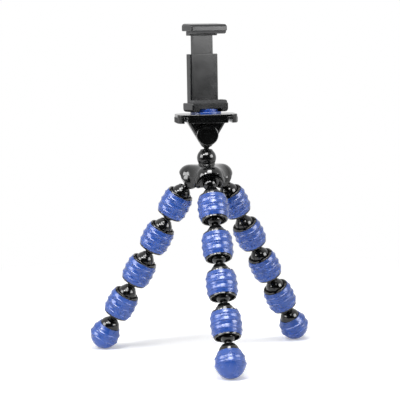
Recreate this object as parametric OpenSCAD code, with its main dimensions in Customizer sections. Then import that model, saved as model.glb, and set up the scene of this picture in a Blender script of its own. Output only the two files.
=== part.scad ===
// Bendable three-legged phone stand: three chains of ball-jointed links, a three-lobed hub,
// a necked ball head with a squeeze-release platform, and a sprung two-jaw phone clamp.
// Origin: on the floor, under the axis of the hub. +Z is up. The phone faces -Y.

/* [Legs] */
// Distance between the ball centres of neighbouring links
link_pitch = 36.4; // [35.4:0.2:42]
// Tilt of each leg's first link from upright, in degrees
leg_tilt = 30.5; // [27:0.5:38]
// Bend at each following joint, in degrees; negative stands the leg up
joint_bend = 0; // [-2:0.1:2]
// Distance of each leg's first ball from the hub axis
first_ball_out = 24.2; // [24:0.1:26.5]
// Heading of the front leg, in degrees from -Y
front_leg_heading = -17.5; // [-60:0.5:60]

/* [Ball joints] */
// Radius of the hidden ball
ball_r = 5; // [4.6:0.1:5.2]
// Gap between a ball and its socket
ball_gap = 0.05; // [0.02:0.01:0.1]
// Radius of the neck that carries a ball
neck_r = 2.4; // [2:0.1:2.5]
// Radius of the socket's mouth where it holds the ball
mouth_hold_r = 3.85; // [3.7:0.05:4]
// Outer radius of the raised ring round the mouth
mouth_ring_r = 5.2; // [5:0.1:5.6]
// Height of the mouth ring's face above the ball centre
mouth_h = 4.7; // [4.4:0.1:5]
// Radius of a link's domed socket
dome_r = 8.7; // [8.4:0.1:9]
// Depth of the dome's centre below the ball centre
dome_drop = 3; // [2.6:0.1:3.4]

/* [Links] */
// Outer radius of the lips at both ends of a link
lip_r = 11.6; // [11.2:0.1:12]
// Wall of the lips
lip_wall = 1.4; // [1:0.1:1.8]
// Depth of the top lip's face below the ball centre
lip_drop = 2; // [1.6:0.1:2.4]
// Depth of the groove between the dome and the lip
groove_depth = 2.6; // [1.6:0.2:3]
// Height of the cup's lip above the next ball centre
cup_h = 10.4; // [10:0.1:11]
// Depth of the cup round the stud
cup_depth = 3.6; // [2.6:0.2:4.4]
// Radius of the stud's bulb inside the cup
bulb_r = 6.4; // [6:0.1:6.6]
// Height of the bulb's centre above the next ball centre
bulb_h = 11.9; // [11.7:0.1:12.3]
// Width of the notches in the top lip
notch_w = 2.2; // [1.4:0.2:3]

/* [Rubber sleeves] */
// Length of a sleeve
sleeve_len = 20.8; // [19.6:0.2:21.4]
// Radius of the sleeve at its ends, between the ribs
sleeve_end_r = 12.2; // [12:0.1:12.6]
// Radius of the sleeve at its middle, between the ribs
sleeve_mid_r = 13.1; // [12.7:0.1:13.6]
// Radius of the seat under the sleeve
seat_r = 11; // [10.4:0.1:11.1]
// Distance from rib to rib
rib_pitch = 6.6; // [6:0.1:6.8]
// Height of a rib
rib_h = 0.9; // [0.4:0.05:1.1]
// Width of a rib at its foot
rib_w = 3; // [2.2:0.1:3.6]

/* [Feet] */
// Radius of the rounded foot
foot_r = 13; // [12:0.5:14]
// Distance from the last ball to the centre of the rounded foot
foot_reach = 12.6; // [12:0.2:15]
// Radius of the foot's dome
foot_dome_r = 9.2; // [9:0.1:9.6]
// Wall of the rubber boot at its tip
boot_wall = 3; // [2:0.2:4]

/* [Hub] */
// Tilt of the studs in the hub from upright, in degrees
stud_tilt = 47; // [44:0.5:48]
// Distance of each lobe's upright axis from the hub axis
lobe_out = 14.2; // [13.8:0.1:14.6]
// Largest radius of a lobe of the dome
lobe_r = 12.4; // [12.2:0.1:12.8]
// Distance of the dome's hollow sides from the hub axis
waist_out = 17.5; // [17:0.1:18]
// Radius of the dome's rounded shoulder
shoulder_r = 10; // [8:0.5:10.5]
// Radius of the round hood over a stud's cup
hood_r = 13.4; // [13.2:0.1:13.5]
// Height of a hood's mouth above the leg's first ball
mouth_plane_h = 12; // [11.6:0.2:12.4]
// Height of the hub's flat top above the legs' first balls
hub_top_h = 24.2; // [24.2:0.2:26]
// Height of the seam between shell and cover above the first balls
hub_seam_h = 10.8; // [10.4:0.2:11.4]

/* [Ball head] */
// Radius of the round socket on top of the hub
socket_r = 8.65; // [8.4:0.05:9]
// Height of the collar under the round socket
collar_h = 1.8; // [1.4:0.1:2.6]
// Width of the head body under the platform
head_top_w = 34; // [30:0.5:35]
// Depth of the head body under the platform
head_top_d = 13; // [12:0.5:15]
// Height of the head body
head_h = 21.5; // [20:0.5:24]
// Radius of the lock knob
knob_r = 9.9; // [9:0.1:10.2]
// Thickness of the lock knob
knob_t = 3.8; // [3:0.1:4.5]
// Heading of the head and platform, in degrees from -Y
head_heading = -19; // [-60:1:60]

/* [Platform] */
// Width of the platform
plate_w = 54; // [52:0.5:58]
// Depth of the platform
plate_d = 34; // [32:0.5:38]
// Thickness of the platform
plate_t = 7.7; // [7.5:0.1:9]
// Corner radius of the platform
plate_corner_r = 8; // [6:0.5:10]
// Width of the platform's middle block
block_w = 36; // [35.5:0.5:37.5]
// Width of the slots beside the middle block
slot_w = 3.4; // [3:0.1:4]
// Travel of a release tab when it is squeezed
tab_travel = 1.6; // [1.4:0.1:1.8]

/* [Clamp] */
// Width of both jaws
jaw_w = 36; // [34:0.5:40]
// Depth of both jaws
jaw_d = 20; // [19.5:0.5:24]
// Height of the lower jaw
lower_jaw_h = 8; // [7.5:0.1:10]
// Height of the upper jaw
upper_jaw_h = 6.8; // [6:0.1:9]
// Clear height between the jaw pads, which is the width of the phone it holds
phone_gap = 58.6; // [55:0.2:66]
// Thickness of a jaw pad with its teeth
pad_t = 2.6; // [2.2:0.1:3]
// Width of the housing behind the phone
back_w = 28; // [27:0.5:31]
// Thickness of the housing behind the phone
back_t = 8.6; // [8.2:0.1:9]
// Height of the housing above the lower jaw
back_h = 43.5; // [42:0.5:48]

/* [Hidden] */

// Colours, as the photograph shows them
black_gloss = "#1d1f21";
black_satin = "#26282a";
rubber_blue = "#2f50a8";
rubber_black = "#222325";
steel = "#a9acb0";
brass = "#c2a25a";

// Roundness of exact curves, and of small ones
round_fn = 96;
small_fn = 48;
// Steps along a turned outline's arc
arc_steps = 10;
// Overrun of every cut
eps = 0.4;
// Gap between two pieces of one body that seat on each other
seat_gap = 0.05;
// Gap beside a piece that slides or turns
run_gap = 0.2;

// Legs: three at equal angles
leg_count = 3;
front_leg = 0;
right_leg = 1;
left_leg = 2;
links_per_leg = 4;
leg_heading = [for (i = [0 : leg_count - 1]) front_leg_heading + i * 360 / leg_count];

// Tilt of link k from upright, and the place of ball k in the leg's own upright plane
function tilt(k) = leg_tilt + k * joint_bend;
foot_tilt = tilt(links_per_leg);
function ball_out(k) = k == 0 ? first_ball_out : ball_out(k - 1) + link_pitch * sin(tilt(k - 1));
function ball_fall(k) = k == 0 ? 0 : ball_fall(k - 1) + link_pitch * cos(tilt(k - 1));
hip_z = ball_fall(links_per_leg) + foot_reach * cos(foot_tilt) + foot_r;

// Places children on leg i at ball k, with +Z up along link k
module on_leg(i, k)
    rotate([0, 0, leg_heading[i]])
        translate([0, -ball_out(k), hip_z - ball_fall(k)])
            rotate([-tilt(k), 0, 0]) children();

// Points of an arc round [cx, cy] from angle a to angle b
function arc(cx, cy, r, a, b, n = arc_steps) =
    [for (i = [0 : n]) let (t = a + (b - a) * i / n) [cx + r * cos(t), cy + r * sin(t)]];

// A rounded rectangle centred on the origin, made of squares and circles
module rounded_rect(w, h, r) {
    square([w - 2 * r, h], center = true);
    square([w, h - 2 * r], center = true);
    for (sx = [-1, 1]) for (sy = [-1, 1])
        translate([sx * (w / 2 - r), sy * (h / 2 - r)]) circle(r = r, $fn = small_fn);
}

// Ball joint: the socket is hollowed out of whatever carries it, its ball centre at the origin
socket_cavity_r = ball_r + ball_gap;
hold_h = sqrt(pow(socket_cavity_r, 2) - pow(mouth_hold_r, 2));
mouth_flare = 0.6;
module socket_hollow() {
    sphere(r = socket_cavity_r, $fn = round_fn);
    translate([0, 0, hold_h])
        cylinder(h = mouth_h - hold_h, r1 = mouth_hold_r, r2 = mouth_hold_r + mouth_flare, $fn = round_fn);
    translate([0, 0, mouth_h])
        cylinder(h = eps, r = mouth_hold_r + mouth_flare, $fn = round_fn);
}

// Outline of a domed socket from the mouth ring down to height z, for a dome of radius r
function dome_outline(r, z) =
    let (top = asin(mouth_ring_r / r), low = acos((z + dome_drop) / r))
    concat([[0, mouth_h], [mouth_ring_r, mouth_h]],
        [for (i = [0 : arc_steps]) let (t = top + (low - top) * i / arc_steps)
            [r * sin(t), r * cos(t) - dome_drop]]);

// Stud: bulb, neck and ball; its ball centre lies at height z
neck_bulb_h = bulb_h - sqrt(pow(bulb_r, 2) - pow(neck_r, 2));
neck_ball_h = sqrt(pow(ball_r, 2) - pow(neck_r, 2));
cup_floor_h = cup_h + cup_depth;
cup_in_r = lip_r - lip_wall;
lip_round = 0.45;
function bulb_outline(z) =
    concat(arc(0, z + bulb_h, bulb_r, asin((cup_floor_h - bulb_h) / bulb_r), -acos(neck_r / bulb_r)),
        [[neck_r, z + neck_ball_h], [0, z + neck_ball_h]]);

// Outline of the cup's lip, from its outside at height z + top to the cup's floor
function cup_outline(z, top) = [
    [lip_r, z + top], [lip_r, z + cup_h + lip_round], [lip_r - lip_round, z + cup_h],
    [cup_in_r + lip_round / 2, z + cup_h], [cup_in_r, z + cup_h + lip_round / 2]];

// Sleeve seat on a link: the sleeve lies between two lips of about one length
sleeve_top = -lip_drop - (link_pitch - cup_h - lip_drop - sleeve_len) / 2;
sleeve_low = sleeve_top - sleeve_len;

module link_core() {
    notches = 4;
    color(black_gloss) difference() {
        union() {
            rotate_extrude($fn = round_fn) polygon(concat(
                dome_outline(dome_r, -lip_drop - groove_depth),
                [[cup_in_r, -lip_drop - groove_depth], [cup_in_r, -lip_drop - lip_round / 2],
                    [cup_in_r + lip_round / 2, -lip_drop], [lip_r - lip_round, -lip_drop],
                    [lip_r, -lip_drop - lip_round], [lip_r, sleeve_top], [seat_r, sleeve_top],
                    [seat_r, sleeve_low]],
                cup_outline(-link_pitch, sleeve_low + link_pitch),
                [[cup_in_r, cup_floor_h - link_pitch]], bulb_outline(-link_pitch)));
            translate([0, 0, -link_pitch]) sphere(r = ball_r, $fn = round_fn);
        }
        socket_hollow();
        for (a = [0 : notches - 1]) rotate([0, 0, (a + 0.5) * 360 / notches])
            translate([cup_in_r - lip_wall / 2, -notch_w / 2, -lip_drop - groove_depth / 2])
                cube([2 * lip_wall, notch_w, groove_depth]);
    }
}

// Height of the ribs at distance d from the end of a run of ribs that starts at first
function rib_swell(d, first, count) = max([for (i = [0 : count - 1])
    let (off = abs(d - first - i * rib_pitch))
    off < rib_w / 2 ? rib_h * (1 + cos(360 * off / rib_w)) / 2 : 0]);

sleeve_steps = 62;
sleeve_ribs = 3;
first_rib = (sleeve_len - (sleeve_ribs - 1) * rib_pitch) / 2;
sleeve_bore_r = seat_r + seat_gap;
module link_sleeve() {
    color(rubber_blue) difference() {
        rotate_extrude($fn = round_fn) polygon(concat(
            [[0, sleeve_top]],
            [for (i = [0 : sleeve_steps]) let (d = sleeve_len * i / sleeve_steps)
                [sleeve_end_r + (sleeve_mid_r - sleeve_end_r) * sin(180 * i / sleeve_steps)
                    + rib_swell(d, first_rib, sleeve_ribs), sleeve_top - d]],
            [[0, sleeve_low]]));
        translate([0, 0, sleeve_low - eps])
            cylinder(h = sleeve_len + 2 * eps, r = sleeve_bore_r, $fn = round_fn);
    }
}

// Foot: a domed core whose stem is held in a rubber boot with a rounded tip
boot_top = -lip_drop;
boot_lip = 0.9;
boot_top_r = foot_dome_r + boot_lip;
stem_r = 7;
stem_low = -(foot_reach + foot_r - boot_wall);
barb_r = 8.4;
barb_h = 2.4;
barb_up = 3;
foot_belt = -lip_drop - groove_depth;
module foot_core(gap = 0) {
    color(black_gloss) difference() {
        rotate_extrude($fn = round_fn) polygon(concat(
            dome_outline(foot_dome_r + gap, foot_belt),
            [[stem_r + gap, foot_belt - dome_drop], [stem_r + gap, stem_low + barb_up + barb_h],
                [barb_r + gap, stem_low + barb_up], [stem_r + gap, stem_low - gap], [0, stem_low - gap]]));
        if (gap == 0) socket_hollow();
    }
}

boot_steps = 54;
boot_ribs = 2;
boot_first_rib = 5.4;
module foot_boot() {
    boot_len = foot_reach + boot_top;
    color(rubber_blue) difference() {
        rotate_extrude($fn = round_fn) polygon(concat(
            [[0, boot_top]],
            [for (i = [0 : boot_steps]) let (d = boot_len * i / boot_steps)
                [boot_top_r + (foot_r - boot_top_r) * sin(90 * i / boot_steps)
                    + rib_swell(d, boot_first_rib, boot_ribs), boot_top - d]],
            [for (i = [1 : boot_steps]) let (t = 90 * i / boot_steps, d = boot_len + foot_r * sin(t))
                [(foot_r + rib_swell(d, boot_first_rib, boot_ribs)) * cos(t), -foot_reach - foot_r * sin(t)]]));
        foot_core(seat_gap);
        translate([0, 0, boot_top - eps / 2])
            cylinder(h = mouth_h - boot_top, r = foot_dome_r + seat_gap, $fn = round_fn);
    }
}

// Places children on the axis of leg i's stud, whose ball is the leg's first ball
module on_stud(i)
    rotate([0, 0, leg_heading[i]])
        translate([0, -first_ball_out, hip_z])
            rotate([-stud_tilt, 0, 0]) children();

// Stud of a leg: cup and plug, trapped by the hub's two halves and cut level with its underside,
// with the bulb, neck and ball of a link
plug_shoulder_h = 15;
plug_r = 8;
plug_top_h = 21;
plug_taper = 2.2;
bulb_floor_r = sqrt(pow(bulb_r, 2) - pow(cup_floor_h - bulb_h, 2));
module stud_plug(gap = 0) rotate_extrude($fn = round_fn) polygon(concat(
    [[0, plug_top_h + gap], [plug_r + gap, plug_top_h + gap],
        [plug_r + gap, plug_shoulder_h + plug_taper + gap], [lip_r + gap, plug_shoulder_h + gap]],
    gap > 0 ? [[lip_r + gap, mouth_plane_h - eps], [0, mouth_plane_h - eps]]
        : concat(cup_outline(0, plug_shoulder_h), [[cup_in_r, cup_floor_h], [0, cup_floor_h]])));
module leg_stud(i) color(black_gloss) {
    difference() {
        on_stud(i) stud_plug();
        below(boss_low_z);
    }
    on_stud(i) rotate_extrude($fn = round_fn) polygon(concat(
        [[0, cup_floor_h + eps], [bulb_floor_r, cup_floor_h + eps]], bulb_outline(0)));
    on_stud(i) sphere(r = ball_r, $fn = round_fn);
}

// Hub: a three-lobed dome on a middle boss, with a round hood over each stud's cup
hub_seam_z = hip_z + hub_seam_h;
hub_top_z = hip_z + hub_top_h;
dome_wide_z = hub_top_z - shoulder_r;
dome_skirt = 3;
dome_low_z = hub_seam_z - dome_skirt;
dome_h = hub_top_z - dome_low_z;
cover_inset = 0.4;
skirt_taper = 1.4;
side_step = 0.2;
boss_r = 13;
boss_low_r = 9.8;
boss_low_h = 4.4;
boss_low_z = hip_z + boss_low_h;
lobe_cup_gap = 0.45;
hood_mid_h = 15.6;
mouth_reach = 20;
mouth_cut_r = 15.5;

// Hollow side: radius of the arc that touches two lobes and passes the waist; the side lies a step inside it
touch_r = (pow(lobe_r, 2) - pow(waist_out, 2) - pow(lobe_out, 2) + waist_out * lobe_out)
    / (2 * waist_out - lobe_out - 2 * lobe_r);
side_out = waist_out + touch_r;
side_r = touch_r + side_step;

// Half outline of the dome's edge at radius r: rounded shoulder above a tapered skirt
module lobe_outline(r) {
    translate([0, dome_wide_z]) square([r - shoulder_r, shoulder_r]);
    intersection() {
        translate([r - shoulder_r, dome_wide_z]) circle(r = shoulder_r, $fn = round_fn);
        translate([0, dome_wide_z]) square([r, shoulder_r]);
    }
    polygon([[0, dome_low_z], [r - skirt_taper, dome_low_z], [r, dome_wide_z], [0, dome_wide_z]]);
}
module side_outline() difference() {
    polygon([[0, dome_low_z - eps], [side_r + skirt_taper, dome_low_z - eps], [side_r, dome_wide_z],
        [side_r + shoulder_r, dome_wide_z], [side_r + shoulder_r, hub_top_z + eps], [0, hub_top_z + eps]]);
    intersection() {
        translate([side_r + shoulder_r, dome_wide_z]) circle(r = shoulder_r, $fn = round_fn);
        translate([side_r, dome_wide_z]) square(shoulder_r);
    }
}
module hub_dome(inset) {
    for (i = [0 : leg_count - 1]) rotate([0, 0, leg_heading[i]]) translate([0, -lobe_out, 0])
        rotate_extrude($fn = round_fn) lobe_outline(lobe_r - inset);
    difference() {
        translate([0, 0, dome_low_z]) rotate([0, 0, front_leg_heading]) linear_extrude(height = dome_h)
            polygon([for (i = [0 : 2 * leg_count - 1])
                let (a = i * 180 / leg_count, out = i % 2 == 0 ? lobe_out : side_out)
                [out * sin(a), -out * cos(a)]]);
        for (i = [0 : leg_count - 1]) rotate([0, 0, leg_heading[i] + 180 / leg_count])
            translate([0, -side_out, 0]) rotate_extrude($fn = round_fn) side_outline();
    }
}
module hub_solid(inset = 0) {
    difference() {
        union() {
            hub_dome(inset);
            for (i = [0 : leg_count - 1]) on_stud(i)
                translate([0, 0, hood_mid_h]) sphere(r = hood_r - inset, $fn = round_fn);
            translate([0, 0, boss_low_z])
                cylinder(h = dome_low_z - boss_low_z, r1 = boss_low_r, r2 = boss_r, $fn = round_fn);
        }
        below(boss_low_z);
        for (i = [0 : leg_count - 1]) on_stud(i) {
            stud_plug(seat_gap);
            translate([0, 0, mouth_plane_h - mouth_reach])
                cylinder(h = mouth_reach, r = mouth_cut_r, $fn = round_fn);
            translate([0, 0, mouth_plane_h - eps])
                cylinder(h = plug_shoulder_h - mouth_plane_h - eps, r = lip_r + lobe_cup_gap, $fn = round_fn);
        }
    }
}

// Everything above the seam, and everything below a height
hub_span = 3 * (lobe_out + lobe_r);
module above_seam() translate([-hub_span / 2, -hub_span / 2, hub_seam_z])
    cube([hub_span, hub_span, hub_span]);
module below(z) translate([-hub_span / 2, -hub_span / 2, z - hub_span])
    cube([hub_span, hub_span, hub_span]);

// Screws from below, between the lobes
hub_screw_out = 6.8;
hub_screw_r = 1.25;
hub_screw_head_r = 2.3;
hub_screw_head_h = 1.6;
hub_screw_len = 10;
hub_recess_r = 1.4;
module at_hub_screws() for (i = [0 : leg_count - 1])
    rotate([0, 0, leg_heading[i] + 180 / leg_count]) translate([0, -hub_screw_out, boss_low_z]) children();
module hub_screw(gap = 0) {
    translate([0, 0, gap > 0 ? -eps : eps / 2])
        cylinder(h = hub_screw_head_h + (gap > 0 ? eps : -eps / 2) + gap, r = hub_screw_head_r + gap,
            $fn = small_fn);
    translate([0, 0, hub_screw_head_h])
        cylinder(h = hub_screw_len + gap, r = hub_screw_r + gap, $fn = small_fn);
}
module hub_screws() color(steel) at_hub_screws() difference() {
    hub_screw();
    for (a = [0, 90]) rotate([0, 0, a]) translate([-hub_recess_r, -eps / 2, 0])
        cube([2 * hub_recess_r, eps, hub_screw_head_h / 2]);
}

// Round socket of the head, on its collar, with a spigot down into the hub
collar_step = 1.2;
collar_r = socket_r - collar_step;
socket_centre_z = hub_top_z + collar_h + sqrt(pow(socket_r, 2) - pow(collar_r, 2));
head_ball_z = socket_centre_z + dome_drop;
spigot_r = 4;
spigot_len = 9;
module head_spigot(gap = 0) translate([0, 0, hub_top_z - spigot_len - gap])
    cylinder(h = spigot_len + gap + eps, r = spigot_r + gap, $fn = round_fn);

module hub_shell() color(black_gloss) difference() {
    hub_solid();
    below(hub_seam_z);
    head_spigot(seat_gap);
    at_hub_screws() hub_screw(seat_gap);
}
module hub_cover() color(black_satin) difference() {
    hub_solid(cover_inset);
    above_seam();
    at_hub_screws() hub_screw(seat_gap);
}

collar_round = 0.5;
module head_socket() color(black_gloss) difference() {
    union() {
        translate([0, 0, head_ball_z]) rotate_extrude($fn = round_fn) polygon(concat(
            dome_outline(socket_r, -dome_drop - socket_r * sin(acos(collar_r / socket_r))),
            [[collar_r, hub_top_z + collar_round - head_ball_z],
                [collar_r + collar_round, hub_top_z - head_ball_z], [0, hub_top_z - head_ball_z]]));
        head_spigot();
    }
    translate([0, 0, head_ball_z]) socket_hollow();
}

// Head: everything above the ball, in its own heading
module in_head() rotate([0, 0, head_heading]) children();
head_foot_r = 4.35;
head_foot_h = 7.4;
neck_straight_h = 6.2;
body_low_z = head_ball_z + head_foot_h;
plate_low_z = body_low_z + head_h;
plate_top_z = plate_low_z + plate_t;
swivel_r = 3;
swivel_len = 16;
module head_ball_stud() color(black_gloss) translate([0, 0, head_ball_z]) {
    sphere(r = ball_r, $fn = round_fn);
    rotate_extrude($fn = round_fn) polygon([[0, 0], [neck_r, 0], [neck_r, neck_straight_h],
        [head_foot_r, head_foot_h - seat_gap], [swivel_r, head_foot_h - seat_gap],
        [swivel_r, head_foot_h + swivel_len], [0, head_foot_h + swivel_len]]);
}

// Wedge body: tapers in both views; the lock knob's screw presses on the swivel
swivel_gap = 0.06;
knob_under = 0.7;
knob_z = plate_low_z - knob_under - knob_r;
wedge_front = head_top_d / 2 - (head_top_d / 2 - head_foot_r) * (plate_low_z - knob_z) / head_h;
knob_seat_r = 8;
knob_seat_t = 0.8;
lock_screw_r = 2.5;
tongue_w = 25;
tongue_d = 9;
plate_floor = 1.2;
yoke_t = 1.4;
yoke_gap = 0.2;
yoke_low_z = [plate_low_z + plate_floor + yoke_gap, plate_low_z + plate_floor + yoke_t + 2 * yoke_gap];
cavity_top_z = yoke_low_z[1] + yoke_t + yoke_gap;
notch_depth = 1.3;
module head_body() color(black_satin) in_head() difference() {
    union() {
        intersection() {
            translate([0, head_top_d, 0]) rotate([90, 0, 0]) linear_extrude(height = 2 * head_top_d)
                polygon([[-head_foot_r, body_low_z], [head_foot_r, body_low_z],
                    [head_top_w / 2, plate_low_z], [-head_top_w / 2, plate_low_z]]);
            translate([-head_top_w, 0, 0]) rotate([90, 0, 90]) linear_extrude(height = 2 * head_top_w)
                polygon([[-head_foot_r, body_low_z], [head_foot_r, body_low_z],
                    [head_top_d / 2, plate_low_z], [-head_top_d / 2, plate_low_z]]);
            wedge_round();
        }
        translate([0, -wedge_front - knob_seat_t, knob_z]) rotate([-90, 0, 0])
            cylinder(h = wedge_front, r = knob_seat_r, $fn = round_fn);
        translate([-tongue_w / 2, -tongue_d / 2, plate_low_z - eps])
            cube([tongue_w, tongue_d, cavity_top_z - plate_low_z - yoke_gap + eps]);
    }
    translate([0, 0, body_low_z - eps])
        cylinder(h = swivel_len + eps + run_gap, r = swivel_r + swivel_gap, $fn = round_fn);
    translate([0, -wedge_front - knob_seat_t - eps, knob_z]) rotate([-90, 0, 0])
        cylinder(h = wedge_front + knob_seat_t, r = lock_screw_r + swivel_gap, $fn = round_fn);
    for (side = [0, 1]) mirror([side, 0, 0])
        translate([tongue_w / 2 - notch_depth, -tongue_d, yoke_low_z[side] - yoke_gap / 2])
            cube([tongue_w, 2 * tongue_d, yoke_t + yoke_gap]);
}
// Round-ended outline that softens the wedge's four upright edges
wedge_edge_r = 4;
module wedge_round() translate([0, 0, body_low_z]) linear_extrude(height = head_h)
    rounded_rect(head_top_w, head_top_d, wedge_edge_r);

// Lock knob: a smooth disc with a rounded rim and a shallow dish
knob_back = wedge_front + knob_seat_t + run_gap;
knob_rim = 1.3;
knob_dish = 0.5;
module in_knob() in_head() translate([0, -knob_back, knob_z]) rotate([90, 0, 0]) children();
module lock_knob() color(black_satin) in_knob() difference() {
    rotate_extrude($fn = round_fn) polygon(concat(
        [[0, 0], [knob_r - knob_rim / 2, 0], [knob_r, knob_rim / 2]],
        arc(knob_r - knob_rim, knob_t - knob_rim, knob_rim, 0, 90),
        [[knob_r - 2 * knob_rim, knob_t], [knob_r - 3 * knob_rim, knob_t - knob_dish],
            [0, knob_t - knob_dish]]));
    translate([0, 0, -eps]) cylinder(h = knob_t / 2 + eps, r = lock_screw_r + seat_gap, $fn = small_fn);
}
module lock_screw() color(steel) in_knob() translate([0, 0, -knob_back + swivel_r + run_gap])
    cylinder(h = knob_back - swivel_r - run_gap + knob_t / 2 - seat_gap, r = lock_screw_r, $fn = small_fn);

// Platform: a middle block under a full-size skin, with a release tab under each end
skin_t = 2;
tab_in_x = block_w / 2 + slot_w;
cavity_half_d = 8.4;
hex_r = 5.2;
hex_t = 1.6;
camera_screw_r = 3.1;
camera_screw_reach = 8.6;
camera_screw_top_z = plate_top_z + camera_screw_reach;
spring_y = 12;
spring_pocket_r = 2.1;
spring_pocket_deep = 3;
spring_seat_deep = 1;
plate_edge = 0.5;
module plate_outline() rounded_rect(plate_w, plate_d, plate_corner_r);
module platform_body() color(black_satin) in_head() difference() {
    union() {
        translate([0, 0, plate_top_z - skin_t]) linear_extrude(height = skin_t - plate_edge) plate_outline();
        translate([0, 0, plate_top_z - plate_edge - eps / 2]) linear_extrude(height = plate_edge + eps / 2)
            rounded_rect(plate_w - 2 * plate_edge, plate_d - 2 * plate_edge, plate_corner_r - plate_edge);
        translate([0, 0, plate_low_z]) linear_extrude(height = plate_t - skin_t + eps / 2)
            intersection() {
                plate_outline();
                square([block_w, plate_d], center = true);
            }
    }
    translate([-tongue_w / 2 - run_gap, -tongue_d / 2 - run_gap, plate_low_z - eps])
        cube([tongue_w + 2 * run_gap, tongue_d + 2 * run_gap, plate_floor + 2 * eps]);
    translate([-block_w, -cavity_half_d, plate_low_z + plate_floor])
        cube([2 * block_w, 2 * cavity_half_d, cavity_top_z - plate_low_z - plate_floor]);
    translate([0, 0, cavity_top_z - eps]) cylinder(h = hex_t + eps + seat_gap, r = hex_r + seat_gap, $fn = 6);
    translate([0, 0, cavity_top_z])
        cylinder(h = plate_t, r = camera_screw_r + seat_gap, $fn = small_fn);
    for (sx = [-1, 1]) for (sy = [-1, 1]) translate([sx * (block_w / 2 + eps), sy * spring_y, spring_z])
        rotate([0, -sx * 90, 0]) cylinder(h = spring_pocket_deep + eps, r = spring_pocket_r, $fn = small_fn);
}
spring_z = plate_low_z + (plate_t - skin_t) / 2;

// Release tab: a ribbed grip and a flat yoke whose far bar hooks into the tongue's notch
grip_rib_r = 0.5;
grip_rib_pitch = 2.2;
grip_ribs = 9;
window_half_d = 4.9;
far_bar = 3;
tab_clear = 0.1;
tab_h = plate_t - skin_t - tab_clear;
yoke_far = tongue_w / 2 - notch_depth + tab_clear;
yoke_near = tongue_w / 2 + tab_travel + run_gap;
module release_tab(level) {
    difference() {
        union() {
            translate([0, 0, plate_low_z]) linear_extrude(height = tab_h) intersection() {
                plate_outline();
                translate([tab_in_x, -plate_d]) square([plate_w, 2 * plate_d]);
            }
            for (i = [0 : grip_ribs - 1])
                translate([plate_w / 2, (i - (grip_ribs - 1) / 2) * grip_rib_pitch, plate_low_z + grip_rib_r])
                    cylinder(h = tab_h - 2 * grip_rib_r, r = grip_rib_r, $fn = small_fn);
            translate([-yoke_far - far_bar, run_gap - cavity_half_d, yoke_low_z[level]])
                cube([tab_in_x + yoke_far + far_bar + eps, 2 * (cavity_half_d - run_gap), yoke_t]);
        }
        translate([-yoke_far, -window_half_d, yoke_low_z[level] - eps])
            cube([yoke_far + yoke_near, 2 * window_half_d, yoke_t + 2 * eps]);
        for (sy = [-1, 1]) translate([tab_in_x - eps, sy * spring_y, spring_z]) rotate([0, 90, 0])
            cylinder(h = spring_seat_deep + eps, r = spring_pocket_r, $fn = small_fn);
    }
}
module right_release_tab() color(black_satin) in_head() release_tab(1);
module left_release_tab() color(black_satin) in_head() mirror([1, 0, 0]) release_tab(0);

// Coil spring along +Z as one swept tube: n turns, wire radius w, coil radius r, length len
wire_sides = 6;
steps_per_turn = 8;
function coil_line(r, w, len, turns) = [for (i = [0 : turns * steps_per_turn])
    let (a = 360 * i / steps_per_turn)
    [r * cos(a), r * sin(a), w + (len - 2 * w) * i / turns / steps_per_turn]];
function least_gap(line, w) = min([for (i = [0 : len(line) - 1 - steps_per_turn])
    for (j = [i + steps_per_turn / 2 : len(line) - 1]) norm(line[j] - line[i])]) - 2 * w;
module coil(r, w, len, turns) {
    n = turns * steps_per_turn;
    pts = [for (i = [0 : n]) for (j = [0 : wire_sides - 1])
        let (a = 360 * i / steps_per_turn, b = 360 * j / wire_sides, out = r + w * cos(b))
        [out * cos(a), out * sin(a), w + (len - 2 * w) * i / n + w * sin(b)]];
    faces = concat([[for (j = [0 : wire_sides - 1]) j]],
        [[for (j = [wire_sides - 1 : -1 : 0]) n * wire_sides + j]],
        [for (i = [0 : n - 1]) for (j = [0 : wire_sides - 1]) let (k = (j + 1) % wire_sides)
            each [[i * wire_sides + j, (i + 1) * wire_sides + j, (i + 1) * wire_sides + k],
                [i * wire_sides + j, (i + 1) * wire_sides + k, i * wire_sides + k]]]);
    polyhedron(points = pts, faces = faces);
}
tab_spring_r = 1.5;
tab_wire_r = 0.25;
tab_spring_turns = 5;
tab_spring_len = slot_w + spring_pocket_deep + spring_seat_deep - 2 * tab_clear;
module tab_springs(side) color(steel) in_head() for (sy = [-1, 1])
    translate([side * (tab_in_x + spring_seat_deep - tab_clear), sy * spring_y, spring_z])
        rotate([0, -side * 90, 0]) coil(tab_spring_r, tab_wire_r, tab_spring_len, tab_spring_turns);

// Camera screw: a hexagon head trapped under the skin, a plain shank of the thread's size above
shank_tip = 0.8;
module camera_screw() color(steel) in_head() {
    translate([0, 0, cavity_top_z]) cylinder(h = hex_t, r = hex_r, $fn = 6);
    translate([0, 0, cavity_top_z + hex_t - eps])
        cylinder(h = camera_screw_top_z - cavity_top_z - hex_t + eps - shank_tip, r = camera_screw_r,
            $fn = small_fn);
    translate([0, 0, camera_screw_top_z - shank_tip])
        cylinder(h = shank_tip, r1 = camera_screw_r, r2 = camera_screw_r - shank_tip, $fn = small_fn);
}

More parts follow.
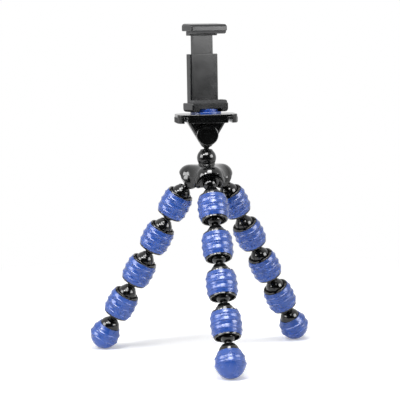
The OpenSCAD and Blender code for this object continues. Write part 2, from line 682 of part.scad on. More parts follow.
// Blue rubber pad: a round flange with a raised middle that shows through the jaw's arch
pad_flange_r = 13.8;
pad_flange_t = 1.9;
pad_rise_r = 10.75;
pad_rise_t = 2.7;
pad_edge = 0.4;
module platform_pad() color(rubber_blue) difference() {
    translate([0, 0, plate_top_z]) rotate_extrude($fn = round_fn) polygon([
        [0, 0], [pad_flange_r, 0], [pad_flange_r, pad_flange_t - pad_edge],
        [pad_flange_r - pad_edge, pad_flange_t], [pad_rise_r, pad_flange_t],
        [pad_rise_r, pad_flange_t + pad_rise_t - pad_edge],
        [pad_rise_r - pad_edge, pad_flange_t + pad_rise_t], [0, pad_flange_t + pad_rise_t]]);
    translate([0, 0, plate_top_z - eps])
        cylinder(h = camera_screw_top_z, r = camera_screw_r + run_gap, $fn = small_fn);
}

// Clamp: the lower jaw with its housing, the upper jaw sliding in it
jaw_low_z = plate_top_z + pad_flange_t + seat_gap;
jaw_top_z = jaw_low_z + lower_jaw_h;
gap_low_z = jaw_top_z + pad_t;
gap_top_z = gap_low_z + phone_gap;
upper_low_z = gap_top_z + pad_t;
upper_top_z = upper_low_z + upper_jaw_h;
jaw_front_r = 3;
jaw_soft_r = 1;
jaw_crown_r = 2.8;
jaw_edge_r = 1.3;
jaw_bevel = 0.6;
crown_bevel = 1.9;
crown_fall = 1;
back_front_y = jaw_d / 2 - back_t;
back_edge_r = 1.6;
housing_top_z = jaw_top_z + back_h;

// A jaw block where three outlines meet: seen from the front, from the side and from above.
// The lower and upper corners have radii low_r and top_r in the front view; in the side view
// the front top edge has the given bevel and the top falls to it
module jaw_block(low_z, h, low_r, top_r, bevel, fall) translate([0, 0, low_z]) intersection() {
    translate([0, jaw_d, 0]) rotate([90, 0, 0]) linear_extrude(height = 2 * jaw_d) intersection() {
        translate([0, h]) rounded_rect(jaw_w, 2 * h, low_r);
        rounded_rect(jaw_w, 2 * h, top_r);
    }
    translate([-jaw_w, 0, 0]) rotate([90, 0, 90]) linear_extrude(height = 2 * jaw_w) polygon([
        [-jaw_d / 2, 0], [jaw_d / 2, 0], [jaw_d / 2, h], [bevel - jaw_d / 2, h - fall],
        [-jaw_d / 2, h - fall - bevel]]);
    linear_extrude(height = h) rounded_rect(jaw_w, jaw_d, jaw_edge_r);
}

channel_w = 20;
front_wall_t = 1.8;
cover_t = 1.6;
channel_front_y = back_front_y + front_wall_t;
channel_back_y = jaw_d / 2 - cover_t;
channel_floor_t = 3;
channel_low_z = jaw_top_z + channel_floor_t;
tongue_plate_w = channel_w - 2 * run_gap;
tongue_front_y = channel_front_y + run_gap;
tongue_back_y = channel_back_y - run_gap;
tongue_lift = 12;
tongue_low_z = channel_low_z + tongue_lift;
spring_x = 5.4;
spring_slot_w = 4.8;
spring_slot_len = 22;
spring_slot_top_z = tongue_low_z + spring_slot_len;
spring_y_mid = (channel_front_y + channel_back_y) / 2;
spring_pin_r = 0.8;
pin_inset = 2;
low_pin_z = channel_low_z + pin_inset;
high_pin_z = spring_slot_top_z - pin_inset;
cover_lap = 2;
cover_low_z = channel_low_z - cover_lap;
cover_high_z = housing_top_z - cover_t;
cover_screw_r = 0.7;
cover_screw_head_r = 1.1;
cover_screw_head_h = 0.8;
rebate_deep = 0.4;
insert_r = 4.4;
insert_bore_r = 3.175;
insert_over = 0.6;
insert_top_z = camera_screw_top_z + insert_over;
arch_half_w = 11.6;
arch_clear = 0.4;
arch_h = pad_rise_t + arch_clear;
pocket_clear = 0.35;
pocket_r = pad_rise_r + pocket_clear;

// Housing cross-section, seen from above
module back_outline(w) translate([0, back_front_y + back_t / 2]) rounded_rect(w, back_t, back_edge_r);

module clamp_base() color(black_satin) difference() {
    union() {
        jaw_block(jaw_low_z, lower_jaw_h, jaw_front_r, jaw_soft_r, jaw_bevel, 0);
        translate([0, 0, jaw_top_z - eps]) linear_extrude(height = back_h + eps) back_outline(back_w);
    }
    translate([-channel_w / 2, channel_front_y, channel_low_z])
        cube([channel_w, channel_back_y - channel_front_y, back_h]);
    translate([-back_w, channel_back_y, cover_low_z])
        cube([2 * back_w, back_t, cover_high_z - cover_low_z]);
    translate([0, 0, jaw_low_z - eps]) cylinder(h = arch_h + eps, r = pocket_r, $fn = round_fn);
    arch_cut();
    translate([-back_w, back_front_y - back_t, jaw_top_z])
        cube([2 * back_w, back_t + rebate_deep, pad_t + seat_gap]);
    translate([0, 0, jaw_low_z - eps])
        cylinder(h = insert_top_z - jaw_low_z + eps + seat_gap, r = insert_r + seat_gap, $fn = small_fn);
    cross_pin(low_pin_z, spring_pin_r + seat_gap, 0);
    at_cover_screws() cover_screw(seat_gap);
}
// Arch through the lower front edge of the jaw
arch_round = 2.6;
module arch_cut() translate([0, 0, jaw_low_z]) rotate([90, 0, 0]) linear_extrude(height = jaw_d)
    intersection() {
        rounded_rect(2 * arch_half_w, 2 * arch_h, arch_round);
        translate([-arch_half_w, -arch_h]) square([2 * arch_half_w, 2 * arch_h]);
    }

module thread_insert() color(brass) difference() {
    translate([0, 0, jaw_low_z + arch_h])
        cylinder(h = insert_top_z - jaw_low_z - arch_h, r = insert_r, $fn = small_fn);
    translate([0, 0, jaw_low_z]) cylinder(h = insert_top_z, r = insert_bore_r, $fn = round_fn);
}

// A steel cross pin across the channel at height z
pin_overhang = 1.4;
module cross_pin(z, r, shorten) translate([-channel_w / 2 - pin_overhang + shorten, spring_y_mid, z])
    rotate([0, 90, 0]) cylinder(h = channel_w + 2 * pin_overhang - 2 * shorten, r = r, $fn = small_fn);
module lower_spring_pin() color(steel) cross_pin(low_pin_z, spring_pin_r, seat_gap);
module upper_spring_pin() color(steel) cross_pin(high_pin_z, spring_pin_r, pin_overhang + 2 * run_gap);

// Rear cover of the channel: a slice of the housing, held by four screws
cover_screw_side = 0.8;
module back_cover() color(black_satin) difference() {
    translate([0, 0, cover_low_z + tab_clear])
        linear_extrude(height = cover_high_z - cover_low_z - 2 * tab_clear) intersection() {
            back_outline(back_w);
            translate([-back_w, channel_back_y]) square([2 * back_w, back_t]);
        }
    at_cover_screws() cover_screw(seat_gap);
}
cover_screw_x = (channel_w + back_w) / 4 - cover_screw_side;
cover_screw_inset = 7;
cover_screw_len = 3.2;
module at_cover_screws() for (sx = [-1, 1])
    for (z = [cover_low_z + cover_screw_inset, cover_high_z - cover_screw_inset])
        translate([sx * cover_screw_x, jaw_d / 2, z]) rotate([90, 0, 0]) children();
module cover_screw(gap = 0) {
    translate([0, 0, gap > 0 ? -eps : 0]) cylinder(h = cover_screw_head_h + (gap > 0 ? eps : 0) + gap,
        r = cover_screw_head_r + gap, $fn = small_fn);
    cylinder(h = cover_screw_head_h + cover_screw_len + gap, r = cover_screw_r + gap, $fn = small_fn);
}
module back_cover_screws() color(steel) at_cover_screws() cover_screw();

// Serrated rubber pad: teeth run from front to back; the teeth point to +Z
tooth_count = 11;
tooth_h = 1.1;
pad_side = 1.2;
pad_front = 0.6;
module jaw_pad() {
    w = jaw_w - 2 * pad_side;
    d = back_front_y + jaw_d / 2 - pad_front - run_gap;
    p = w / tooth_count;
    translate([0, back_front_y - run_gap, 0]) rotate([90, 0, 0]) linear_extrude(height = d)
        polygon(concat([[-w / 2, 0]],
            [for (i = [0 : tooth_count - 1]) each [[-w / 2 + i * p, pad_t - tooth_h],
                [-w / 2 + (i + 0.5) * p, pad_t]]],
            [[w / 2, pad_t - tooth_h], [w / 2, 0]]));
}
module lower_jaw_pad() color(rubber_black) translate([0, 0, jaw_top_z]) jaw_pad();
module upper_jaw_pad() color(rubber_black) translate([0, 0, upper_low_z]) mirror([0, 0, 1]) jaw_pad();

// Upper jaw: its block, and the tongue plate that slides in the housing
tongue_root = 4;
module upper_jaw() color(black_satin) difference() {
    union() {
        jaw_block(upper_low_z, upper_jaw_h, jaw_soft_r, jaw_crown_r, crown_bevel, crown_fall);
        translate([-tongue_plate_w / 2, tongue_front_y, tongue_low_z])
            cube([tongue_plate_w, tongue_back_y - tongue_front_y,
                upper_low_z + upper_jaw_h / 2 - tongue_low_z]);
        translate([0, 0, upper_low_z - tongue_root]) linear_extrude(height = tongue_root + eps)
            back_outline(back_w);
    }
    for (sx = [-1, 1]) translate([sx * spring_x - spring_slot_w / 2, channel_front_y, tongue_low_z - eps])
        cube([spring_slot_w, back_t, spring_slot_top_z - tongue_low_z + eps]);
    cross_pin(high_pin_z, spring_pin_r + seat_gap, 0);
}

// Two extension springs that pull the jaws together
jaw_spring_r = 1.7;
jaw_wire_r = 0.3;
jaw_spring_turns = 14;
jaw_spring_len = high_pin_z - low_pin_z - 2 * spring_pin_r;
module jaw_springs() color(steel) for (sx = [-1, 1])
    translate([sx * spring_x, spring_y_mid, low_pin_z + spring_pin_r])
        coil(jaw_spring_r, jaw_wire_r, jaw_spring_len, jaw_spring_turns);

// Least gap between the turns of each spring, in millimetres
echo(tab_spring_gap = least_gap(coil_line(tab_spring_r, tab_wire_r, tab_spring_len, tab_spring_turns),
    tab_wire_r));
echo(jaw_spring_gap = least_gap(coil_line(jaw_spring_r, jaw_wire_r, jaw_spring_len, jaw_spring_turns),
    jaw_wire_r));

hub_shell();
hub_cover();
hub_screws();
leg_stud(front_leg);  // front_leg_stud
leg_stud(right_leg);  // right_leg_stud
leg_stud(left_leg);  // left_leg_stud
on_leg(front_leg, 0) link_core();  // front_core_1
on_leg(front_leg, 1) link_core();  // front_core_2
on_leg(front_leg, 2) link_core();  // front_core_3
on_leg(front_leg, 3) link_core();  // front_core_4
on_leg(front_leg, links_per_leg) foot_core();  // front_foot_core
on_leg(front_leg, 0) link_sleeve();  // front_sleeve_1
on_leg(front_leg, 1) link_sleeve();  // front_sleeve_2
on_leg(front_leg, 2) link_sleeve();  // front_sleeve_3
on_leg(front_leg, 3) link_sleeve();  // front_sleeve_4
on_leg(front_leg, links_per_leg) foot_boot();  // front_foot_boot
on_leg(right_leg, 0) link_core();  // right_core_1
on_leg(right_leg, 1) link_core();  // right_core_2
on_leg(right_leg, 2) link_core();  // right_core_3
on_leg(right_leg, 3) link_core();  // right_core_4
on_leg(right_leg, links_per_leg) foot_core();  // right_foot_core
on_leg(right_leg, 0) link_sleeve();  // right_sleeve_1
on_leg(right_leg, 1) link_sleeve();  // right_sleeve_2
on_leg(right_leg, 2) link_sleeve();  // right_sleeve_3
on_leg(right_leg, 3) link_sleeve();  // right_sleeve_4
on_leg(right_leg, links_per_leg) foot_boot();  // right_foot_boot
on_leg(left_leg, 0) link_core();  // left_core_1
on_leg(left_leg, 1) link_core();  // left_core_2
on_leg(left_leg, 2) link_core();  // left_core_3
on_leg(left_leg, 3) link_core();  // left_core_4
on_leg(left_leg, links_per_leg) foot_core();  // left_foot_core
on_leg(left_leg, 0) link_sleeve();  // left_sleeve_1
on_leg(left_leg, 1) link_sleeve();  // left_sleeve_2
on_leg(left_leg, 2) link_sleeve();  // left_sleeve_3
on_leg(left_leg, 3) link_sleeve();  // left_sleeve_4
on_leg(left_leg, links_per_leg) foot_boot();  // left_foot_boot
head_socket();
head_ball_stud();
head_body();
lock_knob();
lock_screw();
platform_body();
left_release_tab();
right_release_tab();
tab_springs(-1);  // left_tab_springs
tab_springs(1);  // right_tab_springs
camera_screw();
platform_pad();
clamp_base();
thread_insert();
lower_jaw_pad();
back_cover();
back_cover_screws();
lower_spring_pin();
upper_jaw();
upper_jaw_pad();
upper_spring_pin();
jaw_springs();
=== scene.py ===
"""Looks for a bendable three-legged phone stand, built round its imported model.

Units are millimetres in the sizes below and metres in Blender. The stand's upright axis
is Z, its floor is z = 0, and the phone's side of the clamp faces -Y.
"""
import logging
from dataclasses import dataclass, field
from enum import Enum
from math import acos, asin, atan2, copysign, cos, degrees, pi, radians, sin, sqrt
from typing import Any, Callable, Sequence

import bmesh
import bpy
from bmesh.types import BMEdge, BMesh, BMVert
from bpy.types import Material, Node, NodeSocket, NodeTree
from mathutils import Matrix, Vector


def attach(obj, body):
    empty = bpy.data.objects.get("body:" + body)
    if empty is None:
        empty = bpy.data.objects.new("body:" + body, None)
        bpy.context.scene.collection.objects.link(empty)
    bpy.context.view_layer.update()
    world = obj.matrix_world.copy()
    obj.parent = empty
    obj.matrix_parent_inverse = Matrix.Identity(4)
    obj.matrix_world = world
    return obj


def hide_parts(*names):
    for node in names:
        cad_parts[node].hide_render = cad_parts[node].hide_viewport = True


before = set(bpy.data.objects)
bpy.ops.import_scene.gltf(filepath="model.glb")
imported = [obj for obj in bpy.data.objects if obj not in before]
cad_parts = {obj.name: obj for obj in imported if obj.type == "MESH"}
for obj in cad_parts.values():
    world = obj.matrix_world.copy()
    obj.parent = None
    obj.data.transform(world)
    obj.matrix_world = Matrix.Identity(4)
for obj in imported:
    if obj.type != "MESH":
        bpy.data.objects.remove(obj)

MM = 0.001
# Points within NEAR metres are one, heights within CLOSE mm are level, cutters stand proud by OVERCUT mm
NEAR = 1e-7
CLOSE = 0.01
OVERCUT = 1.0
LOG = logging.getLogger("phone_stand")
Colour = tuple[float, float, float, float]
WHITE = (1.0, 1.0, 1.0, 1.0)


def srgb(code: str) -> Colour:
    """Turns an sRGB hex colour to Blender's linear values.

    Args:
        code: six hex digits after a hash.

    Returns:
        Linear red, green, blue and an alpha of 1.
    """
    def linear(c: float) -> float:
        return c / 12.92 if c <= 0.04045 else ((c + 0.055) / 1.055) ** 2.4
    r, g, b = (linear(int(code[i:i + 2], 16) / 255) for i in (1, 3, 5))
    return (r, g, b, 1.0)


def fill(tree: NodeTree, node: Node, **inputs: Any) -> None:
    """Sets or links a node's inputs.

    Args:
        tree: the node's tree.
        node: the node.
        **inputs: values or source sockets, by input name with _ for a space, or by i and its number.
    """
    for name, value in inputs.items():
        key = int(name[1:]) if name[0] == "i" and name[1:].isdigit() else name.replace("_", " ")
        if isinstance(value, NodeSocket):
            tree.links.new(value, node.inputs[key])
        else:
            node.inputs[key].default_value = value


def add_node(tree: NodeTree, kind: str, settings: dict[str, Any] | None = None, **inputs: Any) -> Node:
    """Adds a shader node with its settings, values and links.

    Args:
        tree: the node tree.
        kind: the node's type name.
        settings: attributes of the node.
        **inputs: its inputs, as fill takes them.

    Returns:
        The node.
    """
    node = tree.nodes.new(kind)
    for name, value in (settings or {}).items():
        setattr(node, name, value)
    fill(tree, node, **inputs)
    return node


def maths(tree: NodeTree, operation: str, first: Any, second: Any) -> NodeSocket:
    """Joins two values in a node tree.

    Args:
        tree: the tree.
        operation: what is done with them.
        first: a value or socket.
        second: another.

    Returns:
        The result.
    """
    return add_node(tree, "ShaderNodeMath", {"operation": operation}, i0=first, i1=second).outputs[0]


def ramp(tree: NodeTree, value: NodeSocket, reach: tuple[float, float], low: float, high: float,
         kind: str = "SMOOTHSTEP") -> NodeSocket:
    """A ramp from one level to another in a node tree.

    Args:
        tree: the tree.
        value: what is looked at.
        reach: the values at which the ramp starts and ends.
        low: its level before.
        high: its level after.
        kind: its course.

    Returns:
        The level.
    """
    return add_node(tree, "ShaderNodeMapRange", {"interpolation_type": kind}, Value=value, From_Min=reach[0],
                    From_Max=reach[1], To_Min=low, To_Max=high).outputs["Result"]


class Recipe:
    """A material on Object coordinates, while its nodes are laid out."""

    def __init__(self, name: str) -> None:
        """Starts the material.

        Args:
            name: its name.
        """
        self.made = bpy.data.materials.new(name)
        self.made.use_nodes = True
        self.tree = self.made.node_tree
        self.place = add_node(self.tree, "ShaderNodeTexCoord").outputs["Object"]

    def noise(self, size_mm: float, detail: float) -> NodeSocket:
        """Soft noise, mostly between 0.3 and 0.7.

        Args:
            size_mm: the size of its patches.
            detail: how many finer layers it has.

        Returns:
            Its level.
        """
        return add_node(self.tree, "ShaderNodeTexNoise", Vector=self.place, Scale=1 / (size_mm * MM),
                        Detail=detail).outputs["Fac"]

    def spread(self, level: NodeSocket, low: float, high: float,
               reach: tuple[float, float] = (0.3, 0.7)) -> NodeSocket:
        """Spreads a noise over a range.

        Args:
            level: the noise.
            low: the range's start.
            high: its end.
            reach: the levels that become the range's ends.

        Returns:
            The value in the range.
        """
        return ramp(self.tree, level, reach, low, high, "LINEAR")

    def blend(self, amount: NodeSocket, first: Sequence[float], second: Sequence[float]) -> NodeSocket:
        """Blends two colours.

        Args:
            amount: how much of the second there is.
            first: the first colour.
            second: the second.

        Returns:
            The blend.
        """
        return add_node(self.tree, "ShaderNodeMix", {"data_type": "RGBA"}, i0=amount, i6=first,
                        i7=second).outputs[2]

    def grain(self, size_mm: float, height_mm: float) -> NodeSocket:
        """Fine bumps of a mould's texture.

        Args:
            size_mm: their size.
            height_mm: their height.

        Returns:
            The normal.
        """
        return add_node(self.tree, "ShaderNodeBump", Height=self.noise(size_mm, 2.0), Strength=1.0,
                        Distance=height_mm * MM).outputs["Normal"]

    def finish(self, **inputs: Any) -> Material:
        """Sets the shader's inputs.

        Args:
            **inputs: the inputs, as fill takes them.

        Returns:
            The material.
        """
        fill(self.tree, self.tree.nodes["Principled BSDF"], **inputs)
        return self.made


@dataclass(frozen=True)
class Mould:
    """Injection-moulded black plastic, such as ABS.

    The mould's polish sets its gloss; a fine spark texture and faint flow marks break up
    the reflections, and handling leaves the gloss a little uneven.
    """

    name: str
    colour: str
    roughness: float
    grain_height_mm: float
    swing: float = 0.04
    grain_mm: float = 0.7
    haze_mm: float = 14.0
    haze_gain: float = 1.45
    haze_lift: float = 0.0015

    def material(self) -> Material:
        """Builds the material."""
        recipe = Recipe(self.name)
        haze = recipe.noise(self.haze_mm, 3.0)
        base = srgb(self.colour)
        lit = [c * self.haze_gain + self.haze_lift for c in base[:3]] + [1.0]
        return recipe.finish(
            Base_Color=recipe.blend(haze, base, lit), IOR=1.53,
            Roughness=recipe.spread(haze, self.roughness - self.swing, self.roughness + self.swing),
            Normal=recipe.grain(self.grain_mm, self.grain_height_mm))


@dataclass(frozen=True)
class Rubber:
    """Moulded thermoplastic rubber with a satin bloom.

    A faint bloom lightens it in patches, a fine matt texture spreads its highlight wide,
    and its sheen pales where the light grazes it.
    """

    name: str
    colour: str
    bloom: str
    roughness: float
    sheen: float
    specular: float = 0.5
    swing: float = 0.05
    grain_mm: float = 0.9
    grain_height_mm: float = 0.003
    bloom_mm: float = 9.0
    bloom_reach: tuple[float, float] = (0.35, 0.75)
    sheen_roughness: float = 0.35

    def material(self) -> Material:
        """Builds the material."""
        recipe = Recipe(self.name)
        patch = recipe.noise(self.bloom_mm, 4.0)
        bloom = recipe.spread(patch, 0.0, 1.0, self.bloom_reach)
        return recipe.finish(
            Base_Color=recipe.blend(bloom, srgb(self.colour), srgb(self.bloom)), IOR=1.5,
            Roughness=recipe.spread(patch, self.roughness - self.swing, self.roughness + self.swing),
            Normal=recipe.grain(self.grain_mm, self.grain_height_mm), Specular_IOR_Level=self.specular,
            Sheen_Weight=self.sheen, Sheen_Roughness=self.sheen_roughness)


@dataclass(frozen=True)
class Metal:
    """Bare metal, drawn, turned or plated: fine scratches dim it and spread its highlight."""

    name: str
    colour: str
    roughness: float
    scratch_mm: float
    swing: tuple[float, float] = (-0.08, 0.1)
    dimmed: float = 0.75

    def material(self) -> Material:
        """Builds the material."""
        recipe = Recipe(self.name)
        scratch = recipe.noise(self.scratch_mm, 5.0)
        base = srgb(self.colour)
        dim = [c * self.dimmed for c in base[:3]] + [1.0]
        low, high = (self.roughness + part for part in self.swing)
        return recipe.finish(Base_Color=recipe.blend(scratch, dim, base), Metallic=1.0,
                             Roughness=recipe.spread(scratch, low, high))


class Finish(Enum):
    """Every finish on the stand, with the record's slot that it belongs to."""

    GLOSS_BLACK = ("gloss_plastic", Mould("polished_black_abs", "#08090a", 0.12, 0.002, grain_mm=0.8))
    HEAD_BLACK = ("head_plastic", Mould("satin_black_abs", "#060707", 0.17, 0.003))
    CLAMP_BLACK = ("clamp_plastic", Mould("semi_gloss_black_abs", "#0c0e10", 0.19, 0.003))
    BLUE_RUBBER = ("blue_rubber", Rubber("satin_blue_rubber", "#1f4ca4", "#2a57ae", 0.27, 0.15, 0.65))
    BLACK_RUBBER = ("black_rubber", Rubber("matt_black_rubber", "#17181a", "#242528", 0.6, 0.2))
    STEEL = ("plated_steel", Metal("nickel_plated_steel", "#c4c6c8", 0.28, 0.5))
    SPRING = ("spring_steel", Metal("drawn_spring_wire", "#a8acb0", 0.32, 0.3))
    BRASS = ("brass_insert", Metal("turned_brass", "#d0a85a", 0.3, 0.5))

    @property
    def slot(self) -> str:
        """The record's material slot."""
        return self.value[0]


@dataclass(frozen=True)
class Ring:
    """One ring of a turned outline, in mm, with the rounding of its edge."""

    r: float
    z: float
    edge: float = 0.0


def arc(cz: float, radius: float, start: float, stop: float, steps: int, cr: float = 0.0) -> list[Ring]:
    """Rings along a circle's arc in the outline.

    Args:
        cz: height of the circle's centre.
        radius: its radius.
        start: first angle in degrees, 0 outward and 90 up.
        stop: last angle.
        steps: how many steps the arc takes.
        cr: the centre's distance from the axis.

    Returns:
        The rings, both ends included.
    """
    out = []
    for i in range(steps + 1):
        a = radians(start + (stop - start) * i / steps)
        out.append(Ring(max(cr + radius * cos(a), 0.0), cz + radius * sin(a)))
    return out


def bevel(bm: BMesh, edges: Sequence[BMEdge], radius: float, steps: int = 3) -> None:
    """Rounds some edges of a body.

    Args:
        bm: the body.
        edges: the edges.
        radius: the rounding in mm.
        steps: steps of the rounding.
    """
    bmesh.ops.bevel(bm, geom=edges, offset=radius * MM, offset_type="OFFSET", segments=steps, profile=0.5,
                    affect="EDGES", clamp_overlap=True, material=-1)


def round_edges(bm: BMesh, radius: float, pick: Callable[[BMEdge], bool] | None = None) -> None:
    """Rounds a body's sharp edges, those of over 30 degrees.

    Args:
        bm: the body.
        radius: the rounding in mm.
        pick: which sharp edges to round, all of them if left out.
    """
    sharp = [e for e in bm.edges if len(e.link_faces) == 2 and e.calc_face_angle(0.0) > radians(30)
             and (pick is None or pick(e))]
    bevel(bm, sharp, radius)


def upright(bm: BMesh, height: float) -> list[BMEdge]:
    """Finds a block's upright edges.

    Args:
        bm: the block.
        height: its height in mm.

    Returns:
        The edges that rise by more than half of it.
    """
    return [e for e in bm.edges if abs(e.verts[0].co.z - e.verts[1].co.z) > height * MM / 2]


def along_depth(edge: BMEdge) -> bool:
    """Whether an edge runs from front to back."""
    x, y, _ = edge.verts[0].co - edge.verts[1].co
    return abs(x) < NEAR and abs(y) > 10 * CLOSE * MM


def mirror(bm: BMesh, axis: tuple[int, int, int]) -> None:
    """Mirrors a body.

    Args:
        bm: the body.
        axis: the direction that is turned round.
    """
    bmesh.ops.transform(bm, verts=bm.verts, matrix=Matrix.Scale(-1, 4, axis))
    bmesh.ops.reverse_faces(bm, faces=bm.faces)


def raised(z: float) -> Matrix:
    """A move upward, in mm."""
    return Matrix.Translation((0, 0, z * MM))


def turned(rings: Sequence[Ring], steps: int = 96) -> BMesh:
    """Spins an outline round Z and rounds the edges that ask for it.

    Args:
        rings: the outline; a closed body starts and ends on the axis, or ends where it starts.
        steps: how many steps a full turn takes.

    Returns:
        The turned body in metres.
    """
    bm = bmesh.new()
    verts = [bm.verts.new((ring.r * MM, 0.0, ring.z * MM)) for ring in rings]
    edges = [bm.edges.new(pair) for pair in zip(verts, verts[1:])]
    if rings[0].r > 0 and rings[-1].r > 0:
        edges.append(bm.edges.new((verts[-1], verts[0])))
    bmesh.ops.spin(bm, geom=verts + edges, axis=(0, 0, 1), cent=(0, 0, 0), angle=2 * pi, steps=steps,
                   use_merge=True, use_duplicate=False)
    bmesh.ops.remove_doubles(bm, verts=bm.verts, dist=NEAR)
    bmesh.ops.recalc_face_normals(bm, faces=bm.faces)
    for ring in rings:
        if ring.edge > 0:
            def on_ring(v: BMVert, ring: Ring = ring) -> bool:
                return abs(v.co.z - ring.z * MM) < NEAR and abs(v.co.xy.length - ring.r * MM) < 10 * NEAR
            bevel(bm, [e for e in bm.edges if on_ring(e.verts[0]) and on_ring(e.verts[1])], ring.edge)
    return bm


def rounded_plate(width: float, depth: float, height: float, corner: float, corner_steps: int) -> BMesh:
    """A flat block with rounded upright corners, centred on Z and standing on z = 0.

    Args:
        width: size along X, in mm.
        depth: size along Y.
        height: size along Z.
        corner: radius of the upright corners.
        corner_steps: steps of each corner.

    Returns:
        The block in metres.
    """
    bm = bmesh.new()
    bmesh.ops.create_cube(bm, size=1.0)
    bmesh.ops.translate(bm, verts=bm.verts, vec=(0, 0, 0.5))
    bmesh.ops.scale(bm, verts=bm.verts, vec=(width * MM, depth * MM, height * MM))
    bevel(bm, upright(bm, height), corner, corner_steps)
    return bm


@dataclass(frozen=True)
class Level:
    """A rounded rectangle at one height, in mm, from its front to its back along Y."""

    z: float
    half_w: float
    front: float
    back: float
    corner: float


def loft(levels: Sequence[Level], corner_steps: int = 5) -> BMesh:
    """Joins rounded rectangles, one above the other, in a closed body.

    Args:
        levels: the rectangles from the bottom up.
        corner_steps: steps of each corner.

    Returns:
        The body in metres.
    """
    bm = bmesh.new()
    rings = []
    for level in levels:
        ring = []
        back, front = level.back - level.corner, level.front + level.corner
        for quarter, (sx, cy) in enumerate(((1, back), (-1, back), (-1, front), (1, front))):
            cx = sx * (level.half_w - level.corner)
            for i in range(corner_steps + 1):
                a = radians(90 * (quarter + i / corner_steps))
                ring.append(bm.verts.new(((cx + level.corner * cos(a)) * MM,
                                          (cy + level.corner * sin(a)) * MM, level.z * MM)))
        rings.append(ring)
    for low, high in zip(rings, rings[1:]):
        for i in range(len(low)):
            k = (i + 1) % len(low)
            bm.faces.new((low[i], low[k], high[k], high[i]))
    bm.faces.new(rings[0][::-1])
    bm.faces.new(rings[-1])
    bmesh.ops.recalc_face_normals(bm, faces=bm.faces)
    return bm


class Boolean(Enum):
    """What an exact Boolean does with its tool."""

    CUT = "DIFFERENCE"
    JOIN = "UNION"


def slab(width: float, depth: float, low: float, high: float, x: float = 0.0, y: float = 0.0) -> BMesh:
    """A plain block, upright, centred on a point of the XY plane.

    Args:
        width: size along X, in mm.
        depth: size along Y.
        low: height of its underside.
        high: height of its top.
        x: its centre along X.
        y: its centre along Y.

    Returns:
        The block in metres.
    """
    bm = bmesh.new()
    bmesh.ops.create_cube(bm, size=1.0)
    bmesh.ops.scale(bm, verts=bm.verts, vec=(width * MM, depth * MM, (high - low) * MM))
    bmesh.ops.translate(bm, verts=bm.verts, vec=Vector((x, y, (low + high) / 2)) * MM)
    return bm


def cut(body: BMesh, *tools: BMesh, mode: Boolean = Boolean.CUT) -> BMesh:
    """Cuts bodies out of a body, or joins them to it, with an exact Boolean.

    Args:
        body: what is cut.
        *tools: what cuts it.
        mode: whether it cuts or joins.

    Returns:
        The result; the inputs are freed.
    """
    for tool in tools:
        objects = []
        for part in (body, tool):
            mesh = bpy.data.meshes.new("part")
            part.to_mesh(mesh)
            part.free()
            obj = bpy.data.objects.new("part", mesh)
            bpy.context.scene.collection.objects.link(obj)
            objects.append(obj)
        mod = objects[0].modifiers.new("cut", "BOOLEAN")
        mod.operation = mode.value
        mod.solver = "EXACT"
        mod.object = objects[1]
        graph = bpy.context.evaluated_depsgraph_get()
        body = bmesh.new()
        body.from_object(objects[0], graph)
        for obj in objects:
            mesh = obj.data
            bpy.data.objects.remove(obj)
            bpy.data.meshes.remove(mesh)
    return body


@dataclass
class Workshop:
    """Turns finished meshes to pieces that ride on their bodies and stand for CAD nodes."""

    materials: dict[Finish, Material] = field(default_factory=dict)

    def material(self, finish: Finish) -> Material:
        """The finish's material, made when it is first asked for."""
        if finish not in self.materials:
            self.materials[finish] = finish.value[1].material()
        return self.materials[finish]

    def add(self, name: str, bm: BMesh, place: Matrix, finish: Finish, body: str, *nodes: str,
            sharp: float = 38.0) -> bpy.types.Object:
        """Makes a piece of a mesh.

        Args:
            name: the piece's name.
            bm: its mesh in its own frame; it is freed.
            place: where it goes in the stand's frame.
            finish: its finish.
            body: the body that it rides on.
            *nodes: the CAD nodes that it stands for.
            sharp: edges above this angle, in degrees, stay sharp.

        Returns:
            The piece.
        """
        bmesh.ops.transform(bm, matrix=place, verts=bm.verts)
        mesh = bpy.data.meshes.new(name)
        bm.to_mesh(mesh)
        bm.free()
        mesh.polygons.foreach_set("use_smooth", [True] * len(mesh.polygons))
        mesh.set_sharp_from_angle(angle=radians(sharp))
        piece = bpy.data.objects.new(name, mesh)
        bpy.context.scene.collection.objects.link(piece)
        weighted = piece.modifiers.new("even_normals", "WEIGHTED_NORMAL")
        weighted.keep_sharp = True
        mesh.materials.append(self.material(finish))
        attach(piece, body)
        if nodes:
            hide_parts(*nodes)
        LOG.info("%s: %d faces on %s", name, len(mesh.polygons), body)
        return piece

    def dress(self, finish: Finish, *nodes: str) -> None:
        """Gives CAD nodes that stay in view their finish.

        Args:
            finish: the finish.
            *nodes: the nodes' names.
        """
        for name in nodes:
            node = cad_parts[name]
            node.data.materials.clear()
            node.data.materials.append(self.material(finish))
            LOG.info("%s: CAD node in %s", name, finish.name)


